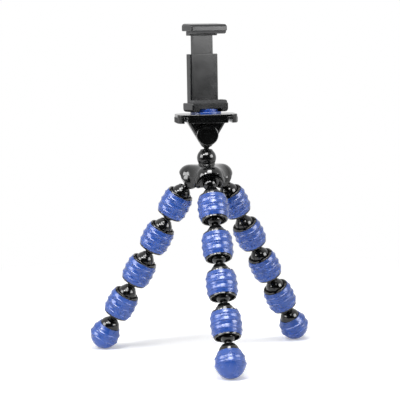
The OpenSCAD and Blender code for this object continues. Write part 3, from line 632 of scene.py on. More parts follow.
@dataclass
class BallJoint:
    """Sizes of the ball joints that every leg link, foot and the head share, in mm."""

    ball_r: float = 5.0
    cavity_r: float = 5.05
    neck_r: float = 2.4
    hold_r: float = 3.85
    mouth_r: float = 4.45
    ring_r: float = 5.2
    mouth_h: float = 4.7
    dome_drop: float = 3.0
    bulb_r: float = 6.4
    bulb_h: float = 11.9
    mouth_edge: float = 0.18
    ring_edge: float = 0.16

    def socket(self) -> list[Ring]:
        """Rings of the hollow, from its floor to the outer edge of the mouth's ring."""
        hold = degrees(acos(self.hold_r / self.cavity_r))
        return arc(0, self.cavity_r, -90, hold, 14) + [
            Ring(self.mouth_r, self.mouth_h, self.mouth_edge),
            Ring(self.ring_r, self.mouth_h, self.ring_edge)]

    def dome(self, radius: float, belt: float, steps: int = 10) -> list[Ring]:
        """Rings of the dome round a socket, from the mouth's ring down to the belt.

        Args:
            radius: the dome's radius.
            belt: height of its last ring.
            steps: steps of its arc.

        Returns:
            The rings without the mouth's own.
        """
        top = degrees(acos(self.ring_r / radius))
        low = degrees(asin((belt + self.dome_drop) / radius))
        return arc(-self.dome_drop, radius, top, low, steps)

    def ball(self, z: float, cup_floor: float, steps: int = 12) -> list[Ring]:
        """Rings of a bulb, neck and ball that hang from a cup.

        Args:
            z: height of the ball's centre.
            cup_floor: height of the cup's floor above it.
            steps: steps of the bulb's arc.

        Returns:
            The rings, from the cup's floor to the ball's pole.
        """
        start = degrees(asin((cup_floor - self.bulb_h) / self.bulb_r))
        stop = -degrees(acos(self.neck_r / self.bulb_r))
        bottom = degrees(acos(self.neck_r / self.ball_r))
        return (arc(z + self.bulb_h, self.bulb_r, start, stop, steps)
                + arc(z, self.ball_r, bottom, -90, 16))


@dataclass
class Leg:
    """One leg: four ball-jointed links in rubber sleeves, and a foot in a rubber boot. Sizes in mm."""

    name: str
    heading: float
    joint: BallJoint = field(default_factory=BallJoint)
    pitch: float = 36.4
    tilt: float = 30.5
    first_out: float = 24.2
    hip_z: float = 149.3097
    links: int = 4
    lip_r: float = 11.6
    lip_in_r: float = 10.2
    lip_drop: float = 2.0
    lip_len: float = 1.6
    groove: float = 2.6
    dome_r: float = 8.7
    cup_h: float = 10.4
    cup_depth: float = 3.6
    seat_r: float = 11.0
    notch_w: float = 2.2
    notches: int = 4
    sleeve_len: float = 20.8
    sleeve_end_r: float = 12.2
    sleeve_mid_r: float = 13.1
    sleeve_ribs: int = 3
    rib_pitch: float = 6.6
    bulge_h: float = 0.4
    bead_h: float = 0.5
    bead_w: float = 1.5
    foot_r: float = 13.0
    foot_reach: float = 12.6
    foot_dome_r: float = 9.2
    boot_top_r: float = 10.1
    boot_ribs: int = 2
    boot_first_rib: float = 5.4
    stem_r: float = 7.0
    stem_top: float = -7.6
    stem_low: float = -22.6
    barb_r: float = 8.4
    barb_z: float = -19.6
    barb_top: float = -17.2
    seat_gap: float = 0.05
    sleeve_steps: int = 130
    boot_steps: int = 90
    lip_edge: float = 0.4
    lip_in_edge: float = 0.35
    seat_edge: float = 0.15
    rubber_edge: float = 0.3

    @property
    def belt(self) -> float:
        """Height at which a dome meets the groove under it."""
        return -self.lip_drop - self.groove

    @property
    def seat_top(self) -> float:
        """Height of a sleeve's top."""
        return -self.lip_drop - self.lip_len

    def place(self, k: int) -> Matrix:
        """Where ball k of this leg is, with +Z up along its link.

        Args:
            k: the ball's number, 0 at the hub.

        Returns:
            The transform in metres.
        """
        lean = radians(self.tilt)
        out = self.first_out + k * self.pitch * sin(lean)
        z = self.hip_z - k * self.pitch * cos(lean)
        return (Matrix.Rotation(radians(self.heading), 4, "Z")
                @ Matrix.Translation((0, -out * MM, z * MM)) @ Matrix.Rotation(-lean, 4, "X"))

    def swell(self, d: float, first: float, count: int) -> float:
        """Height of the ribs, each a low bulge with a fine bead, at a distance from a run's end.

        Args:
            d: the distance in mm.
            first: the first rib's distance.
            count: how many ribs the run has.

        Returns:
            The height in mm.
        """
        best = 0.0
        for i in range(count):
            off = abs(d - first - i * self.rib_pitch)
            rise = self.bulge_h * max(0.0, 1 - (2 * off / self.rib_pitch) ** 2)
            if off < self.bead_w / 2:
                rise += self.bead_h * (1 + cos(2 * pi * off / self.bead_w)) / 2
            best = max(best, rise)
        return best

    def core(self) -> BMesh:
        """A link: socket dome and notched lip above, cup, neck and ball below."""
        ball, cup = self.joint, self.cup_h - self.pitch
        seat_low = self.seat_top - self.sleeve_len
        bm = turned(ball.socket() + ball.dome(self.dome_r, self.belt)[1:] + [
            Ring(self.lip_in_r, self.belt), Ring(self.lip_in_r, -self.lip_drop, self.lip_in_edge),
            Ring(self.lip_r, -self.lip_drop, self.lip_edge), Ring(self.lip_r, self.seat_top, self.seat_edge),
            Ring(self.seat_r, self.seat_top), Ring(self.seat_r, seat_low),
            Ring(self.lip_r, seat_low, self.seat_edge), Ring(self.lip_r, cup, self.lip_edge),
            Ring(self.lip_in_r, cup, self.lip_in_edge), Ring(self.lip_in_r, cup + self.cup_depth)]
            + ball.ball(-self.pitch, self.cup_h + self.cup_depth))
        half = asin(self.notch_w / 2 / self.lip_r)
        step = 2 * pi / self.notches
        for v in bm.verts:
            angle = (atan2(v.co.y, v.co.x) - step / 2) % step
            outer = v.co.xy.length > (self.lip_in_r - 5 * CLOSE) * MM
            if outer and v.co.z > (self.belt + self.groove / 2) * MM and min(angle, step - angle) < half:
                v.co.z -= self.groove / 2 * MM
        return bm

    def sleeve(self) -> BMesh:
        """A link's rubber sleeve: a ribbed barrel."""
        first = (self.sleeve_len - (self.sleeve_ribs - 1) * self.rib_pitch) / 2
        rings, steps = [], self.sleeve_steps
        for i in range(steps + 1):
            d = self.sleeve_len * i / steps
            r = (self.sleeve_end_r + (self.sleeve_mid_r - self.sleeve_end_r) * sin(pi * i / steps)
                 + self.swell(d, first, self.sleeve_ribs))
            rings.append(Ring(r, self.seat_top - d, self.rubber_edge if i in (0, steps) else 0.0))
        bore = self.seat_r + self.seat_gap
        return turned(rings + [Ring(bore, self.seat_top - self.sleeve_len), Ring(bore, self.seat_top)])

    def foot_core(self) -> BMesh:
        """The last socket, with the barbed stem that its boot grips."""
        return turned(self.joint.socket() + self.joint.dome(self.foot_dome_r, self.belt)[1:] + [
            Ring(self.stem_r, self.stem_top), Ring(self.stem_r, self.barb_top),
            Ring(self.barb_r, self.barb_z), Ring(self.stem_r, self.stem_low), Ring(0.0, self.stem_low)])

    def boot(self) -> BMesh:
        """The foot's rubber boot: ribbed, with a rounded tip, and hollow round the stem."""
        top, length, steps = -self.lip_drop, self.foot_reach - self.lip_drop, self.boot_steps
        rings = [Ring(self.foot_dome_r + self.seat_gap, top, self.seat_edge)]
        for i in range(steps + 1):
            d = length * i / steps
            r = (self.boot_top_r + (self.foot_r - self.boot_top_r) * sin(pi / 2 * i / steps)
                 + self.swell(d, self.boot_first_rib, self.boot_ribs))
            rings.append(Ring(r, top - d, self.rubber_edge if i == 0 else 0.0))
        for i in range(1, steps + 1):
            a = pi / 2 * i / steps
            drop = self.foot_r * sin(a)
            r = (self.foot_r + self.swell(length + drop, self.boot_first_rib, self.boot_ribs)) * cos(a)
            rings.append(Ring(r if i < steps else 0.0, -self.foot_reach - drop))
        g = self.seat_gap
        rings += [Ring(0.0, self.stem_low - g), Ring(self.stem_r + g, self.stem_low - g),
                  Ring(self.barb_r + g, self.barb_z), Ring(self.stem_r + g, self.barb_top),
                  Ring(self.stem_r + g, self.stem_top), Ring(self.foot_dome_r + g, self.belt)]
        return turned(rings)

    def build(self, shop: Workshop) -> None:
        """Makes the leg's pieces.

        Args:
            shop: the workshop that takes them.
        """
        leg, black, blue = self.name, Finish.GLOSS_BLACK, Finish.BLUE_RUBBER
        for k in range(self.links):
            n, place, body = k + 1, self.place(k), f"{leg}_link_{k + 1}"
            shop.add(f"{leg}_link_core_{n}", self.core(), place, black, body, f"{leg}_core_{n}")
            shop.add(f"{leg}_link_sleeve_{n}", self.sleeve(), place, blue, body, f"{leg}_sleeve_{n}")
        place = self.place(self.links)
        shop.add(f"{leg}_foot_socket", self.foot_core(), place, black, f"{leg}_foot", f"{leg}_foot_core")
        shop.add(f"{leg}_boot", self.boot(), place, blue, f"{leg}_foot", f"{leg}_foot_boot")


@dataclass
class BallHead:
    """Socket on the hub, ball stud, wedge body and lock knob. Sizes in mm."""

    joint: BallJoint = field(default_factory=BallJoint)
    heading: float = -19.0
    hub_top_z: float = 173.5097
    ball_z: float = 182.7052
    socket_r: float = 8.65
    collar_r: float = 7.45
    collar_edge: float = 0.5
    spigot_r: float = 4.0
    spigot_len: float = 9.0
    foot_r: float = 4.35
    foot_h: float = 7.4
    neck_straight: float = 6.2
    swivel_r: float = 3.0
    swivel_len: float = 16.0
    top_w: float = 34.0
    top_d: float = 13.0
    height: float = 21.5
    knob_r: float = 9.9
    knob_t: float = 3.8
    knob_seat_r: float = 8.0
    knob_seat_t: float = 0.8
    knob_seat_edge: float = 0.25
    knob_edges: tuple[float, float] = (0.2, 0.3)
    knob_drop: float = 0.7
    knob_chamfer: float = 0.65
    knob_round: float = 1.3
    knob_dish: tuple[tuple[float, float], ...] = ((2.6, 0.05), (4.0, 0.35), (6.2, 0.55), (9.9, 0.6))
    seat_root: float = 1.0
    collar_round: float = 0.15
    neck_edge: float = 0.4
    foot_gap: float = 0.05
    foot_edge: float = 0.35
    wedge_corner: float = 2.0
    run_gap: float = 0.2

    @property
    def low_z(self) -> float:
        """Height of the wedge's foot."""
        return self.ball_z + self.foot_h

    @property
    def plate_z(self) -> float:
        """Height of the platform's underside."""
        return self.low_z + self.height

    @property
    def turn(self) -> Matrix:
        """The head's heading about the upright axis."""
        return Matrix.Rotation(radians(self.heading), 4, "Z")

    @property
    def knob_z(self) -> float:
        """Height of the knob's axis."""
        return self.plate_z - self.knob_r - self.knob_drop

    @property
    def wedge_front(self) -> float:
        """Half of the wedge's depth at the knob's axis."""
        return self.top_d / 2 - (self.top_d / 2 - self.foot_r) * (self.plate_z - self.knob_z) / self.height

    def forward(self, reach: float) -> Matrix:
        """A move to the knob's axis, in front of the upright one, that turns Z to the front.

        Args:
            reach: how far in front, in mm.

        Returns:
            The transform in metres.
        """
        return (Matrix.Translation((0, -reach * MM, self.knob_z * MM))
                @ Matrix.Rotation(radians(90), 4, "X"))

    def socket(self) -> BMesh:
        """The round socket on its collar."""
        belt = -self.joint.dome_drop - sqrt(self.socket_r ** 2 - self.collar_r ** 2)
        base = self.hub_top_z - self.ball_z
        rings = self.joint.socket() + self.joint.dome(self.socket_r, belt, 16)[1:] + [
            Ring(self.collar_r, base + self.collar_edge, self.collar_round),
            Ring(self.collar_r + self.collar_edge, base), Ring(self.spigot_r, base),
            Ring(self.spigot_r, base - self.spigot_len), Ring(0.0, base - self.spigot_len)]
        return turned(rings)

    def stud(self) -> BMesh:
        """Ball, neck, flare and the swivel that the head turns on."""
        top = degrees(acos(self.joint.neck_r / self.joint.ball_r))
        foot, tip = self.foot_h - self.foot_gap, self.foot_h + self.swivel_len
        return turned(arc(0, self.joint.ball_r, -90, top, 18) + [
            Ring(self.joint.neck_r, self.neck_straight, self.neck_edge), Ring(self.foot_r, foot),
            Ring(self.swivel_r, foot), Ring(self.swivel_r, tip), Ring(0.0, tip)])

    def wedge(self) -> BMesh:
        """The wedge between stud and platform, with the knob's round seat on it."""
        bm = bmesh.new()
        bmesh.ops.create_cube(bm, size=2.0)
        for v in bm.verts:
            w, d, z = ((self.top_w / 2, self.top_d / 2, self.plate_z) if v.co.z > 0
                       else (self.foot_r, self.foot_r, self.low_z))
            v.co = Vector((copysign(w, v.co.x), copysign(d, v.co.y), z)) * MM
        bevel(bm, upright(bm, self.height), self.wedge_corner, 5)
        round_edges(bm, self.foot_edge, lambda e: all(v.co.z < (self.low_z + CLOSE) * MM for v in e.verts))
        face = self.wedge_front + self.knob_seat_t - self.seat_root
        seat = turned([Ring(0.0, 0.0), Ring(self.knob_seat_r, 0.0),
                       Ring(self.knob_seat_r, face, self.knob_seat_edge), Ring(0.0, face)], 64)
        bmesh.ops.transform(seat, verts=seat.verts, matrix=self.forward(self.seat_root))
        return cut(bm, seat, mode=Boolean.JOIN)

    def knob(self) -> BMesh:
        """The lock knob: a disc with a rounded rim and a shallow dish."""
        rim, low = self.knob_r - self.knob_round, self.knob_t - self.knob_round
        return turned([Ring(0.0, 0.0), Ring(self.knob_r - self.knob_chamfer, 0.0, self.knob_edges[0]),
                       Ring(self.knob_r, self.knob_chamfer, self.knob_edges[1])]
                      + arc(low, self.knob_round, 0, 90, 8, rim)
                      + [Ring(self.knob_r - inward, self.knob_t - deep) for inward, deep in self.knob_dish])

    def build(self, shop: Workshop) -> None:
        """Makes the head's pieces.

        Args:
            shop: the workshop that takes them.
        """
        at_ball = raised(self.ball_z)
        shop.add("ball_socket", self.socket(), at_ball, Finish.GLOSS_BLACK, "hub", "head_socket")
        shop.add("ball_stud", self.stud(), at_ball, Finish.GLOSS_BLACK, "head_ball", "head_ball_stud")
        shop.add("head_wedge", self.wedge(), self.turn, Finish.HEAD_BLACK, "head", "head_body")
        at_knob = self.turn @ self.forward(self.wedge_front + self.knob_seat_t + self.run_gap)
        shop.add("knob_disc", self.knob(), at_knob, Finish.HEAD_BLACK, "knob", "lock_knob")


@dataclass
class Platform:
    """Flat platform with a release tab under each end and a rubber pad on top. Sizes in mm."""

    head: BallHead
    width: float = 54.0
    depth: float = 34.0
    thick: float = 7.7
    corner: float = 8.0
    skin: float = 2.0
    block_w: float = 36.0
    slot_w: float = 3.4
    edge: float = 0.5
    tab_h: float = 5.6
    rib_r: float = 0.5
    rib_pitch: float = 2.2
    ribs: int = 9
    yoke_t: float = 1.4
    yoke_half_d: float = 8.2
    window_half_d: float = 4.9
    yoke_far: float = 11.3
    yoke_near: float = 14.3
    far_bar: float = 3.0
    yoke_low: tuple[float, float] = (1.4, 3.0)
    pad_r: float = 13.8
    pad_t: float = 1.9
    rise_r: float = 10.75
    rise_t: float = 2.7
    bore_r: float = 3.3
    soft: float = 0.4
    tab_edge: float = 0.45
    yoke_lap: float = 0.4
    yoke_room: float = 0.2
    cavity: tuple[float, float] = (1.2, 4.8)
    block_corner: float = 1.2
    pad_gap: float = 0.05

    @property
    def low_z(self) -> float:
        """Height of its underside."""
        return self.head.plate_z

    @property
    def top_z(self) -> float:
        """Height of its top."""
        return self.low_z + self.thick

    @property
    def rest_z(self) -> float:
        """Height at which the clamp rests over the pad's flange."""
        return self.top_z + self.pad_t + self.pad_gap

    def body(self) -> BMesh:
        """A full-size skin over a middle block, with the yokes' cavity."""
        skin = rounded_plate(self.width, self.depth, self.skin, self.corner, 10)
        bmesh.ops.translate(skin, verts=skin.verts, vec=(0, 0, (self.thick - self.skin) * MM))
        block = rounded_plate(self.block_w, self.depth, self.thick - self.skin / 2, self.block_corner, 4)
        bm = cut(skin, block, mode=Boolean.JOIN)
        bm = cut(bm, slab(2 * self.block_w, 2 * (self.yoke_half_d + self.yoke_room), *self.cavity))

        def level(edge: BMEdge) -> bool:
            top = max(v.co.z for v in edge.verts)
            return top > (self.thick - CLOSE) * MM or top < CLOSE * MM
        round_edges(bm, self.edge, level)
        return bm

    def tab(self, level: float) -> BMesh:
        """The right-hand tab: a ribbed grip and the yoke that hooks the tongue.

        Args:
            level: the yoke's height above the platform's underside.

        Returns:
            The body.
        """
        start = self.block_w / 2 + self.slot_w
        bm = rounded_plate(self.width, self.depth, self.tab_h, self.corner, 10)
        bmesh.ops.bisect_plane(bm, geom=bm.verts[:] + bm.edges[:] + bm.faces[:], plane_co=(start * MM, 0, 0),
                               plane_no=(1, 0, 0), clear_inner=True)
        bmesh.ops.holes_fill(bm, edges=[e for e in bm.edges if e.is_boundary])
        bmesh.ops.recalc_face_normals(bm, faces=bm.faces)
        round_edges(bm, self.tab_edge)
        ribs = bmesh.new()
        for i in range(self.ribs):
            y = (i - (self.ribs - 1) / 2) * self.rib_pitch
            place = Matrix.Translation((self.width / 2 * MM, y * MM, self.tab_h / 2 * MM))
            bmesh.ops.create_cone(ribs, cap_ends=True, segments=16, radius1=self.rib_r * MM, matrix=place,
                                  radius2=self.rib_r * MM, depth=(self.tab_h - 2 * self.rib_r) * MM)
        bm = cut(bm, ribs, mode=Boolean.JOIN)
        far, near, top = self.yoke_far + self.far_bar, start + self.yoke_lap, level + self.yoke_t
        yoke = slab(far + near, 2 * self.yoke_half_d, level, top, (near - far) / 2)
        window = slab(self.yoke_far + self.yoke_near, 2 * self.window_half_d, level - OVERCUT, top + OVERCUT,
                      (self.yoke_near - self.yoke_far) / 2)
        return cut(bm, cut(yoke, window), mode=Boolean.JOIN)

    def pad(self) -> BMesh:
        """The blue rubber pad: a flange and a raised middle."""
        top = self.pad_t + self.rise_t
        return turned([Ring(self.bore_r, 0.0), Ring(self.pad_r, 0.0), Ring(self.pad_r, self.pad_t, self.soft),
                       Ring(self.rise_r, self.pad_t), Ring(self.rise_r, top, self.soft),
                       Ring(self.bore_r, top)])

    def build(self, shop: Workshop) -> None:
        """Makes the platform's pieces.

        Args:
            shop: the workshop that takes them.
        """
        low = self.head.turn @ raised(self.low_z)
        shop.add("platform_plate", self.body(), low, Finish.HEAD_BLACK, "head", "platform_body")
        for side, level in (("right", self.yoke_low[1]), ("left", self.yoke_low[0])):
            bm = self.tab(level)
            if side == "left":
                mirror(bm, (1, 0, 0))
            shop.add(f"{side}_tab_grip", bm, low, Finish.HEAD_BLACK, f"{side}_tab", f"{side}_release_tab")
        shop.add("rubber_pad", self.pad(), raised(self.top_z), Finish.BLUE_RUBBER, "head", "platform_pad")


@dataclass
class PhoneClamp:
    """Two serrated jaws, the housing behind the phone and the tongue that slides in it. Sizes in mm."""

    base_z: float
    width: float = 36.0
    depth: float = 20.0
    lower_h: float = 8.0
    upper_h: float = 6.8
    gap: float = 58.6
    pad_t: float = 2.6
    corner_r: float = 1.3
    soft: float = 0.35
    back_w: float = 28.0
    back_t: float = 8.6
    back_h: float = 43.5
    back_edge: float = 1.6
    channel_w: float = 20.0
    front_wall: float = 1.8
    cover_t: float = 1.6
    channel_floor: float = 3.0
    cover_lap: float = 2.0
    run_gap: float = 0.2
    teeth: int = 11
    tooth_h: float = 1.1
    pad_side: float = 1.2
    pad_front: float = 0.6
    arch_half_w: float = 11.6
    arch_h: float = 3.1
    pocket_r: float = 11.1
    tongue_lift: float = 12.0
    tongue_root: float = 4.0
    slot_w: float = 4.8
    slot_len: float = 22.0
    spring_x: float = 5.4
    back_soft: float = 0.6
    arch_round: float = 2.6
    tooth_edge: float = 0.22
    overlap: float = 1.0
    fades: tuple[float, ...] = (0.03, 0.1, 0.2, 0.35, 0.5)
    breaks: tuple[float, ...] = (-0.3, -0.15, 0.0, 0.15, 0.3)

    @property
    def back_front(self) -> float:
        """Where the housing's front face lies along Y."""
        return self.depth / 2 - self.back_t

    @property
    def jaw_z(self) -> float:
        """Height of the lower jaw's top."""
        return self.base_z + self.lower_h

    @property
    def upper_z(self) -> float:
        """Height of the upper jaw's underside."""
        return self.jaw_z + 2 * self.pad_t + self.gap

    def jaw(self, height: float, low_r: float, high_r: float, slant: float, fall: float) -> BMesh:
        """A jaw's block, with its front top edge bevelled and its top falling to the front.

        Args:
            height: its height at the back.
            low_r: rounding of its two lower side edges.
            high_r: rounding of its two upper side edges.
            slant: bevel of the front top edge.
            fall: how far the top falls from back to front.

        Returns:
            The block, standing on z = 0.
        """
        def quarter(r: float, count: int) -> list[float]:
            """Depths of a rounding's steps."""
            return [r * (1 - cos(pi / 2 * i / count)) for i in range(count + 1)]

        def inset(r: float, d: float) -> float:
            """How far a rounding draws in at a depth."""
            return r - sqrt(max(r * r - (r - d) ** 2, 0.0)) if d < r else 0.0

        fall_z, face_top = height - fall, height - fall - slant
        marks = quarter(self.soft, 6) + quarter(low_r, 9) + [height - d for d in quarter(high_r, 9)]
        marks += [height - d for d in self.fades] + [z + d for z in (face_top, fall_z) for d in self.breaks]
        flat = self.depth - slant - 2 * self.corner_r
        levels = []
        for z in sorted({round(mark, 4) for mark in marks}):
            if not 0 <= z <= height:
                continue
            low, high = inset(self.soft, z), inset(self.soft, height - z)
            side = max(inset(low_r, z), inset(high_r, height - z), low)
            slope = min(max((z - face_top) / slant, 0.0), 1.0) * slant
            front = max(slope + max(z - fall_z, 0.0) / fall * flat, low) if fall else max(slope, low, high)
            levels.append(Level(z, self.width / 2 - side, front - self.depth / 2,
                                self.depth / 2 - max(low, high), self.corner_r))
        return loft(levels)

    def housing(self, low: float, high: float) -> BMesh:
        """A length of the housing's rounded section.

        Args:
            low: its foot.
            high: its top.

        Returns:
            The body.
        """
        bm = rounded_plate(self.back_w, self.back_t, high - low, self.back_edge, 6)
        bmesh.ops.translate(bm, verts=bm.verts, vec=Vector((0, self.back_front + self.back_t / 2, low)) * MM)
        return bm

    def base(self) -> BMesh:
        """The lower jaw and the housing, with its channel, arch and pocket."""
        bm = self.jaw(self.lower_h, low_r=3.0, high_r=1.0, slant=0.6, fall=0.0)
        tall = self.housing(self.lower_h - self.overlap, self.lower_h + self.back_h)
        round_edges(tall, self.back_soft, lambda e: min(v.co.z for v in e.verts) > self.lower_h * MM)
        bm = cut(bm, tall, mode=Boolean.JOIN)
        front, back = self.back_front + self.front_wall, self.depth / 2 - self.cover_t
        floor, top = self.lower_h + self.channel_floor, self.lower_h + self.back_h
        channel = slab(self.channel_w, back - front, floor, top + 5 * OVERCUT, 0.0, (front + back) / 2)
        rear = slab(2 * self.back_w, 2 * self.cover_t, floor - self.cover_lap, top - self.cover_t, 0.0,
                    back + self.cover_t)
        pocket = turned([Ring(0.0, -OVERCUT), Ring(self.pocket_r, -OVERCUT), Ring(self.pocket_r, self.arch_h),
                         Ring(0.0, self.arch_h)], 64)
        arch = slab(2 * self.arch_half_w, self.depth, -self.arch_h, self.arch_h, 0.0, -self.depth / 2)
        rims = [e for e in arch.edges if along_depth(e) and all(v.co.z > 0 for v in e.verts)]
        bevel(arch, rims, self.arch_round, 6)
        return cut(bm, channel, rear, pocket, arch)

    def pad(self) -> BMesh:
        """A serrated pad: teeth that run from front to back, standing on z = 0 and pointing up."""
        w = self.width - 2 * self.pad_side
        d = self.back_front + self.depth / 2 - self.pad_front - self.run_gap
        bm = bmesh.new()
        bmesh.ops.create_grid(bm, x_segments=2 * self.teeth, y_segments=1, size=0.5)
        bmesh.ops.scale(bm, verts=bm.verts, vec=(w * MM, d * MM, 1.0))
        step = w * MM / (2 * self.teeth)
        for v in bm.verts:
            column = round((v.co.x + w * MM / 2) / step)
            v.co.z = (self.pad_t if column % 2 else self.pad_t - self.tooth_h) * MM
        deep = bmesh.ops.extrude_face_region(bm, geom=bm.faces[:])
        for v in deep["geom"]:
            if isinstance(v, BMVert):
                v.co.z = 0.0
        bmesh.ops.recalc_face_normals(bm, faces=bm.faces)
        bevel(bm, [e for e in bm.edges if along_depth(e) and all(v.co.z > 0 for v in e.verts)],
              self.tooth_edge, 2)
        bmesh.ops.translate(bm, verts=bm.verts, vec=(0, (self.back_front - self.run_gap - d / 2) * MM, 0))
        return bm

    def upper(self) -> BMesh:
        """The upper jaw's block, its root and the tongue plate with its spring slots."""
        bm = self.jaw(self.upper_h, low_r=1.0, high_r=2.8, slant=1.9, fall=1.0)
        root = self.housing(-self.tongue_root, self.overlap)
        round_edges(root, self.back_soft, lambda e: max(v.co.z for v in e.verts) < 0)
        bm = cut(bm, root, mode=Boolean.JOIN)
        front = self.back_front + self.front_wall + self.run_gap
        back = self.depth / 2 - self.cover_t - self.run_gap
        low = self.jaw_z + self.channel_floor + self.tongue_lift - self.upper_z
        mid = (front + back) / 2
        plate = slab(self.channel_w - 2 * self.run_gap, back - front, low, self.upper_h / 2, 0.0, mid)
        slots = [slab(self.slot_w, self.back_t, low - OVERCUT, low + self.slot_len, side * self.spring_x, mid)
                 for side in (-1, 1)]
        return cut(bm, cut(plate, *slots), mode=Boolean.JOIN)

    def build(self, shop: Workshop) -> None:
        """Makes the clamp's pieces.

        Args:
            shop: the workshop that takes them.
        """
        black, rubber, high = Finish.CLAMP_BLACK, Finish.BLACK_RUBBER, raised(self.upper_z)
        shop.add("lower_jaw", self.base(), raised(self.base_z), black, "clamp", "clamp_base")
        shop.add("upper_jaw_block", self.upper(), high, black, "jaw", "upper_jaw")
        shop.add("lower_pad", self.pad(), raised(self.jaw_z), rubber, "clamp", "lower_jaw_pad", sharp=25.0)
        upper_pad = self.pad()
        mirror(upper_pad, (0, 0, 1))
        shop.add("upper_pad", upper_pad, high, rubber, "jaw", "upper_jaw_pad", sharp=25.0)


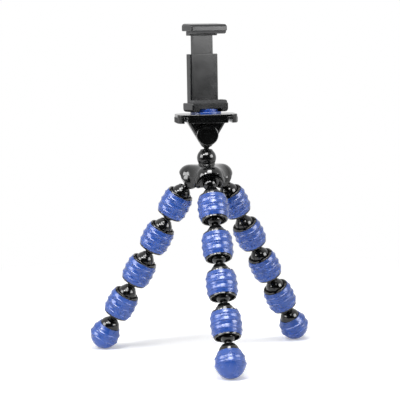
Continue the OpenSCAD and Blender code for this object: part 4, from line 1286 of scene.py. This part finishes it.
@dataclass
class Studio:
    """White floor, soft lights and the camera, at the photograph's angle. Sizes in mm."""

    azimuth: float = -27.0
    distance: float = 1400.0
    camera_z: float = 290.0
    aim_z: float = 140.6
    roll: float = 0.97
    centre_px: tuple[float, float] = (207.3, 201.0)
    pixels_per_mm: float = 1.115
    frame_px: float = 400.0
    sensor: float = 36.0
    lit_floor: tuple[float, float] = (260.0, 620.0)
    floor_lift: float = 0.3
    room_light: float = 0.35
    dark_front: tuple[float, float] = (0.1, 0.75)
    front_level: float = 0.02
    floor_half_m: float = 4.0
    lamps_aim_z: float = 150.0

    @property
    def heading(self) -> Vector:
        """The camera's side of the stand, level."""
        a = radians(self.azimuth)
        return Vector((sin(a), -cos(a), 0.0))

    def camera(self) -> None:
        """Makes the camera and sets it as the scene's."""
        data = bpy.data.cameras.new("camera")
        data.sensor_width = self.sensor
        data.lens = self.pixels_per_mm * self.distance * self.sensor / self.frame_px
        data.clip_start, data.clip_end = 0.05, 50.0
        data.shift_x = 0.5 - self.centre_px[0] / self.frame_px
        data.shift_y = self.centre_px[1] / self.frame_px - 0.5
        cam = bpy.data.objects.new("camera", data)
        bpy.context.scene.collection.objects.link(cam)
        cam.location = (self.heading * self.distance + Vector((0, 0, self.camera_z))) * MM
        fall = atan2(self.camera_z - self.aim_z, self.distance)
        cam.rotation_euler = (Matrix.Rotation(radians(self.azimuth), 4, "Z")
                              @ Matrix.Rotation(radians(90) - fall, 4, "X")
                              @ Matrix.Rotation(-radians(self.roll), 4, "Z")).to_euler()
        bpy.context.scene.camera = cam

    def lamp(self, name: str, azimuth: float, elevation: float, reach: float, size: tuple[float, float],
             power: float, shine: bool = False) -> None:
        """Adds a soft light that faces the stand.

        Args:
            name: its name.
            azimuth: the side it stands on, in degrees from the camera's, positive to the right.
            elevation: its height above the horizon in degrees.
            reach: its distance in mm.
            size: its width and height in mm.
            power: its power in watts.
            shine: whether it only shows in gloss, as a white panel does.
        """
        data = bpy.data.lights.new(name, "AREA")
        data.shape, data.size, data.size_y, data.energy = "RECTANGLE", size[0] * MM, size[1] * MM, power
        light = bpy.data.objects.new(name, data)
        bpy.context.scene.collection.objects.link(light)
        light.visible_diffuse = not shine
        a, e = radians(self.azimuth + azimuth), radians(elevation)
        back = Vector((sin(a) * cos(e), -cos(a) * cos(e), sin(e)))
        light.location = (Vector((0, 0, self.lamps_aim_z)) + back * reach) * MM
        light.rotation_mode = "QUATERNION"
        light.rotation_quaternion = back.to_track_quat("Z", "Y")

    def floor(self) -> None:
        """A white floor that keeps the stand's shadow and shines white far from it."""
        bm = bmesh.new()
        bmesh.ops.create_grid(bm, x_segments=1, y_segments=1, size=self.floor_half_m)
        mesh = bpy.data.meshes.new("floor")
        bm.to_mesh(mesh)
        bm.free()
        floor = bpy.data.objects.new("floor", mesh)
        bpy.context.scene.collection.objects.link(floor)
        mat = bpy.data.materials.new("white_sweep")
        mat.use_nodes = True
        tree = mat.node_tree
        path = add_node(tree, "ShaderNodeLightPath").outputs
        seen = maths(tree, "MAXIMUM", path["Is Camera Ray"],
                     maths(tree, "MAXIMUM", path["Is Glossy Ray"], path["Is Transmission Ray"]))
        near = tree.nodes["Principled BSDF"]
        fill(tree, near, Base_Color=srgb("#fefefe"), Roughness=0.9, Emission_Color=WHITE,
             Emission_Strength=maths(tree, "MULTIPLY", seen, self.floor_lift))
        place = add_node(tree, "ShaderNodeTexCoord").outputs["Object"]
        away = add_node(tree, "ShaderNodeVectorMath", {"operation": "LENGTH"}, i0=place).outputs["Value"]
        far = ramp(tree, away, tuple(r * MM for r in self.lit_floor), 0.0, 1.0)
        aim = add_node(tree, "ShaderNodeVectorMath", {"operation": "NORMALIZE"}, i0=place).outputs["Vector"]
        level = add_node(tree, "ShaderNodeMix", i0=path["Is Glossy Ray"], i2=1.0, i3=self.room(tree, aim))
        glow = add_node(tree, "ShaderNodeEmission", Color=WHITE, Strength=level.outputs[0])
        mix = add_node(tree, "ShaderNodeMixShader", i0=maths(tree, "MULTIPLY", far, seen),
                       i1=near.outputs["BSDF"], i2=glow.outputs["Emission"])
        fill(tree, tree.nodes["Material Output"], Surface=mix.outputs["Shader"])
        mesh.materials.append(mat)

    def world(self) -> None:
        """A white world: the room in gloss, and a soft light on everything."""
        world = bpy.data.worlds.new("studio")
        bpy.context.scene.world = world
        world.use_nodes = True
        tree = world.node_tree
        path = add_node(tree, "ShaderNodeLightPath").outputs
        aim = add_node(tree, "ShaderNodeTexCoord").outputs["Generated"]
        gloss = add_node(tree, "ShaderNodeMix", i0=path["Is Glossy Ray"], i2=self.room_light,
                         i3=self.room(tree, aim))
        shown = maths(tree, "MAXIMUM", path["Is Camera Ray"], path["Is Transmission Ray"])
        level = add_node(tree, "ShaderNodeMix", i0=shown, i2=gloss.outputs[0], i3=1.0)
        fill(tree, tree.nodes["Background"], Color=WHITE, Strength=level.outputs[0])

    def room(self, tree: NodeTree, aim: NodeSocket) -> NodeSocket:
        """The room as gloss sees it: white all round, dark where the stand's front looks.

        Args:
            tree: the tree that asks.
            aim: the direction looked at.

        Returns:
            A socket with the room's level.
        """
        ahead = add_node(tree, "ShaderNodeVectorMath", {"operation": "DOT_PRODUCT"}, i0=aim, i1=self.heading)
        return ramp(tree, ahead.outputs["Value"], self.dark_front, 1.0, self.front_level)

    def build(self) -> None:
        """Makes the camera, floor, world and lights."""
        self.camera()
        self.floor()
        self.world()
        self.lamp("key", -40, 42, 1300, (300, 300), 8)
        self.lamp("top", 10, 76, 1300, (500, 400), 9)
        self.lamp("overhead_panel", 0, 58, 1500, (800, 1000), 34, shine=True)
        self.lamp("left_panel", -68, 20, 1300, (800, 650), 16, shine=True)
        self.lamp("right_panel", 68, 20, 1300, (800, 650), 16, shine=True)
        bpy.context.scene.view_settings.view_transform = "Standard"


def main() -> None:
    """Builds the studio and the stand's looks."""
    logging.basicConfig(level=logging.INFO, format="%(name)s %(message)s")
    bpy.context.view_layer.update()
    shop = Workshop()
    Studio().build()
    for name, heading in (("front", -17.5), ("right", 102.5), ("left", 222.5)):
        Leg(name, heading).build(shop)
    head = BallHead()
    head.build(shop)
    platform = Platform(head)
    platform.build(shop)
    PhoneClamp(platform.rest_z).build(shop)
    shop.dress(Finish.GLOSS_BLACK, "hub_shell", "hub_cover", "front_leg_stud", "right_leg_stud",
               "left_leg_stud")
    shop.dress(Finish.CLAMP_BLACK, "back_cover")
    shop.dress(Finish.STEEL, "hub_screws", "lock_screw", "camera_screw", "back_cover_screws",
               "lower_spring_pin", "upper_spring_pin")
    shop.dress(Finish.SPRING, "jaw_springs", "left_tab_springs", "right_tab_springs")
    shop.dress(Finish.BRASS, "thread_insert")


if __name__ == "__main__":
    main()
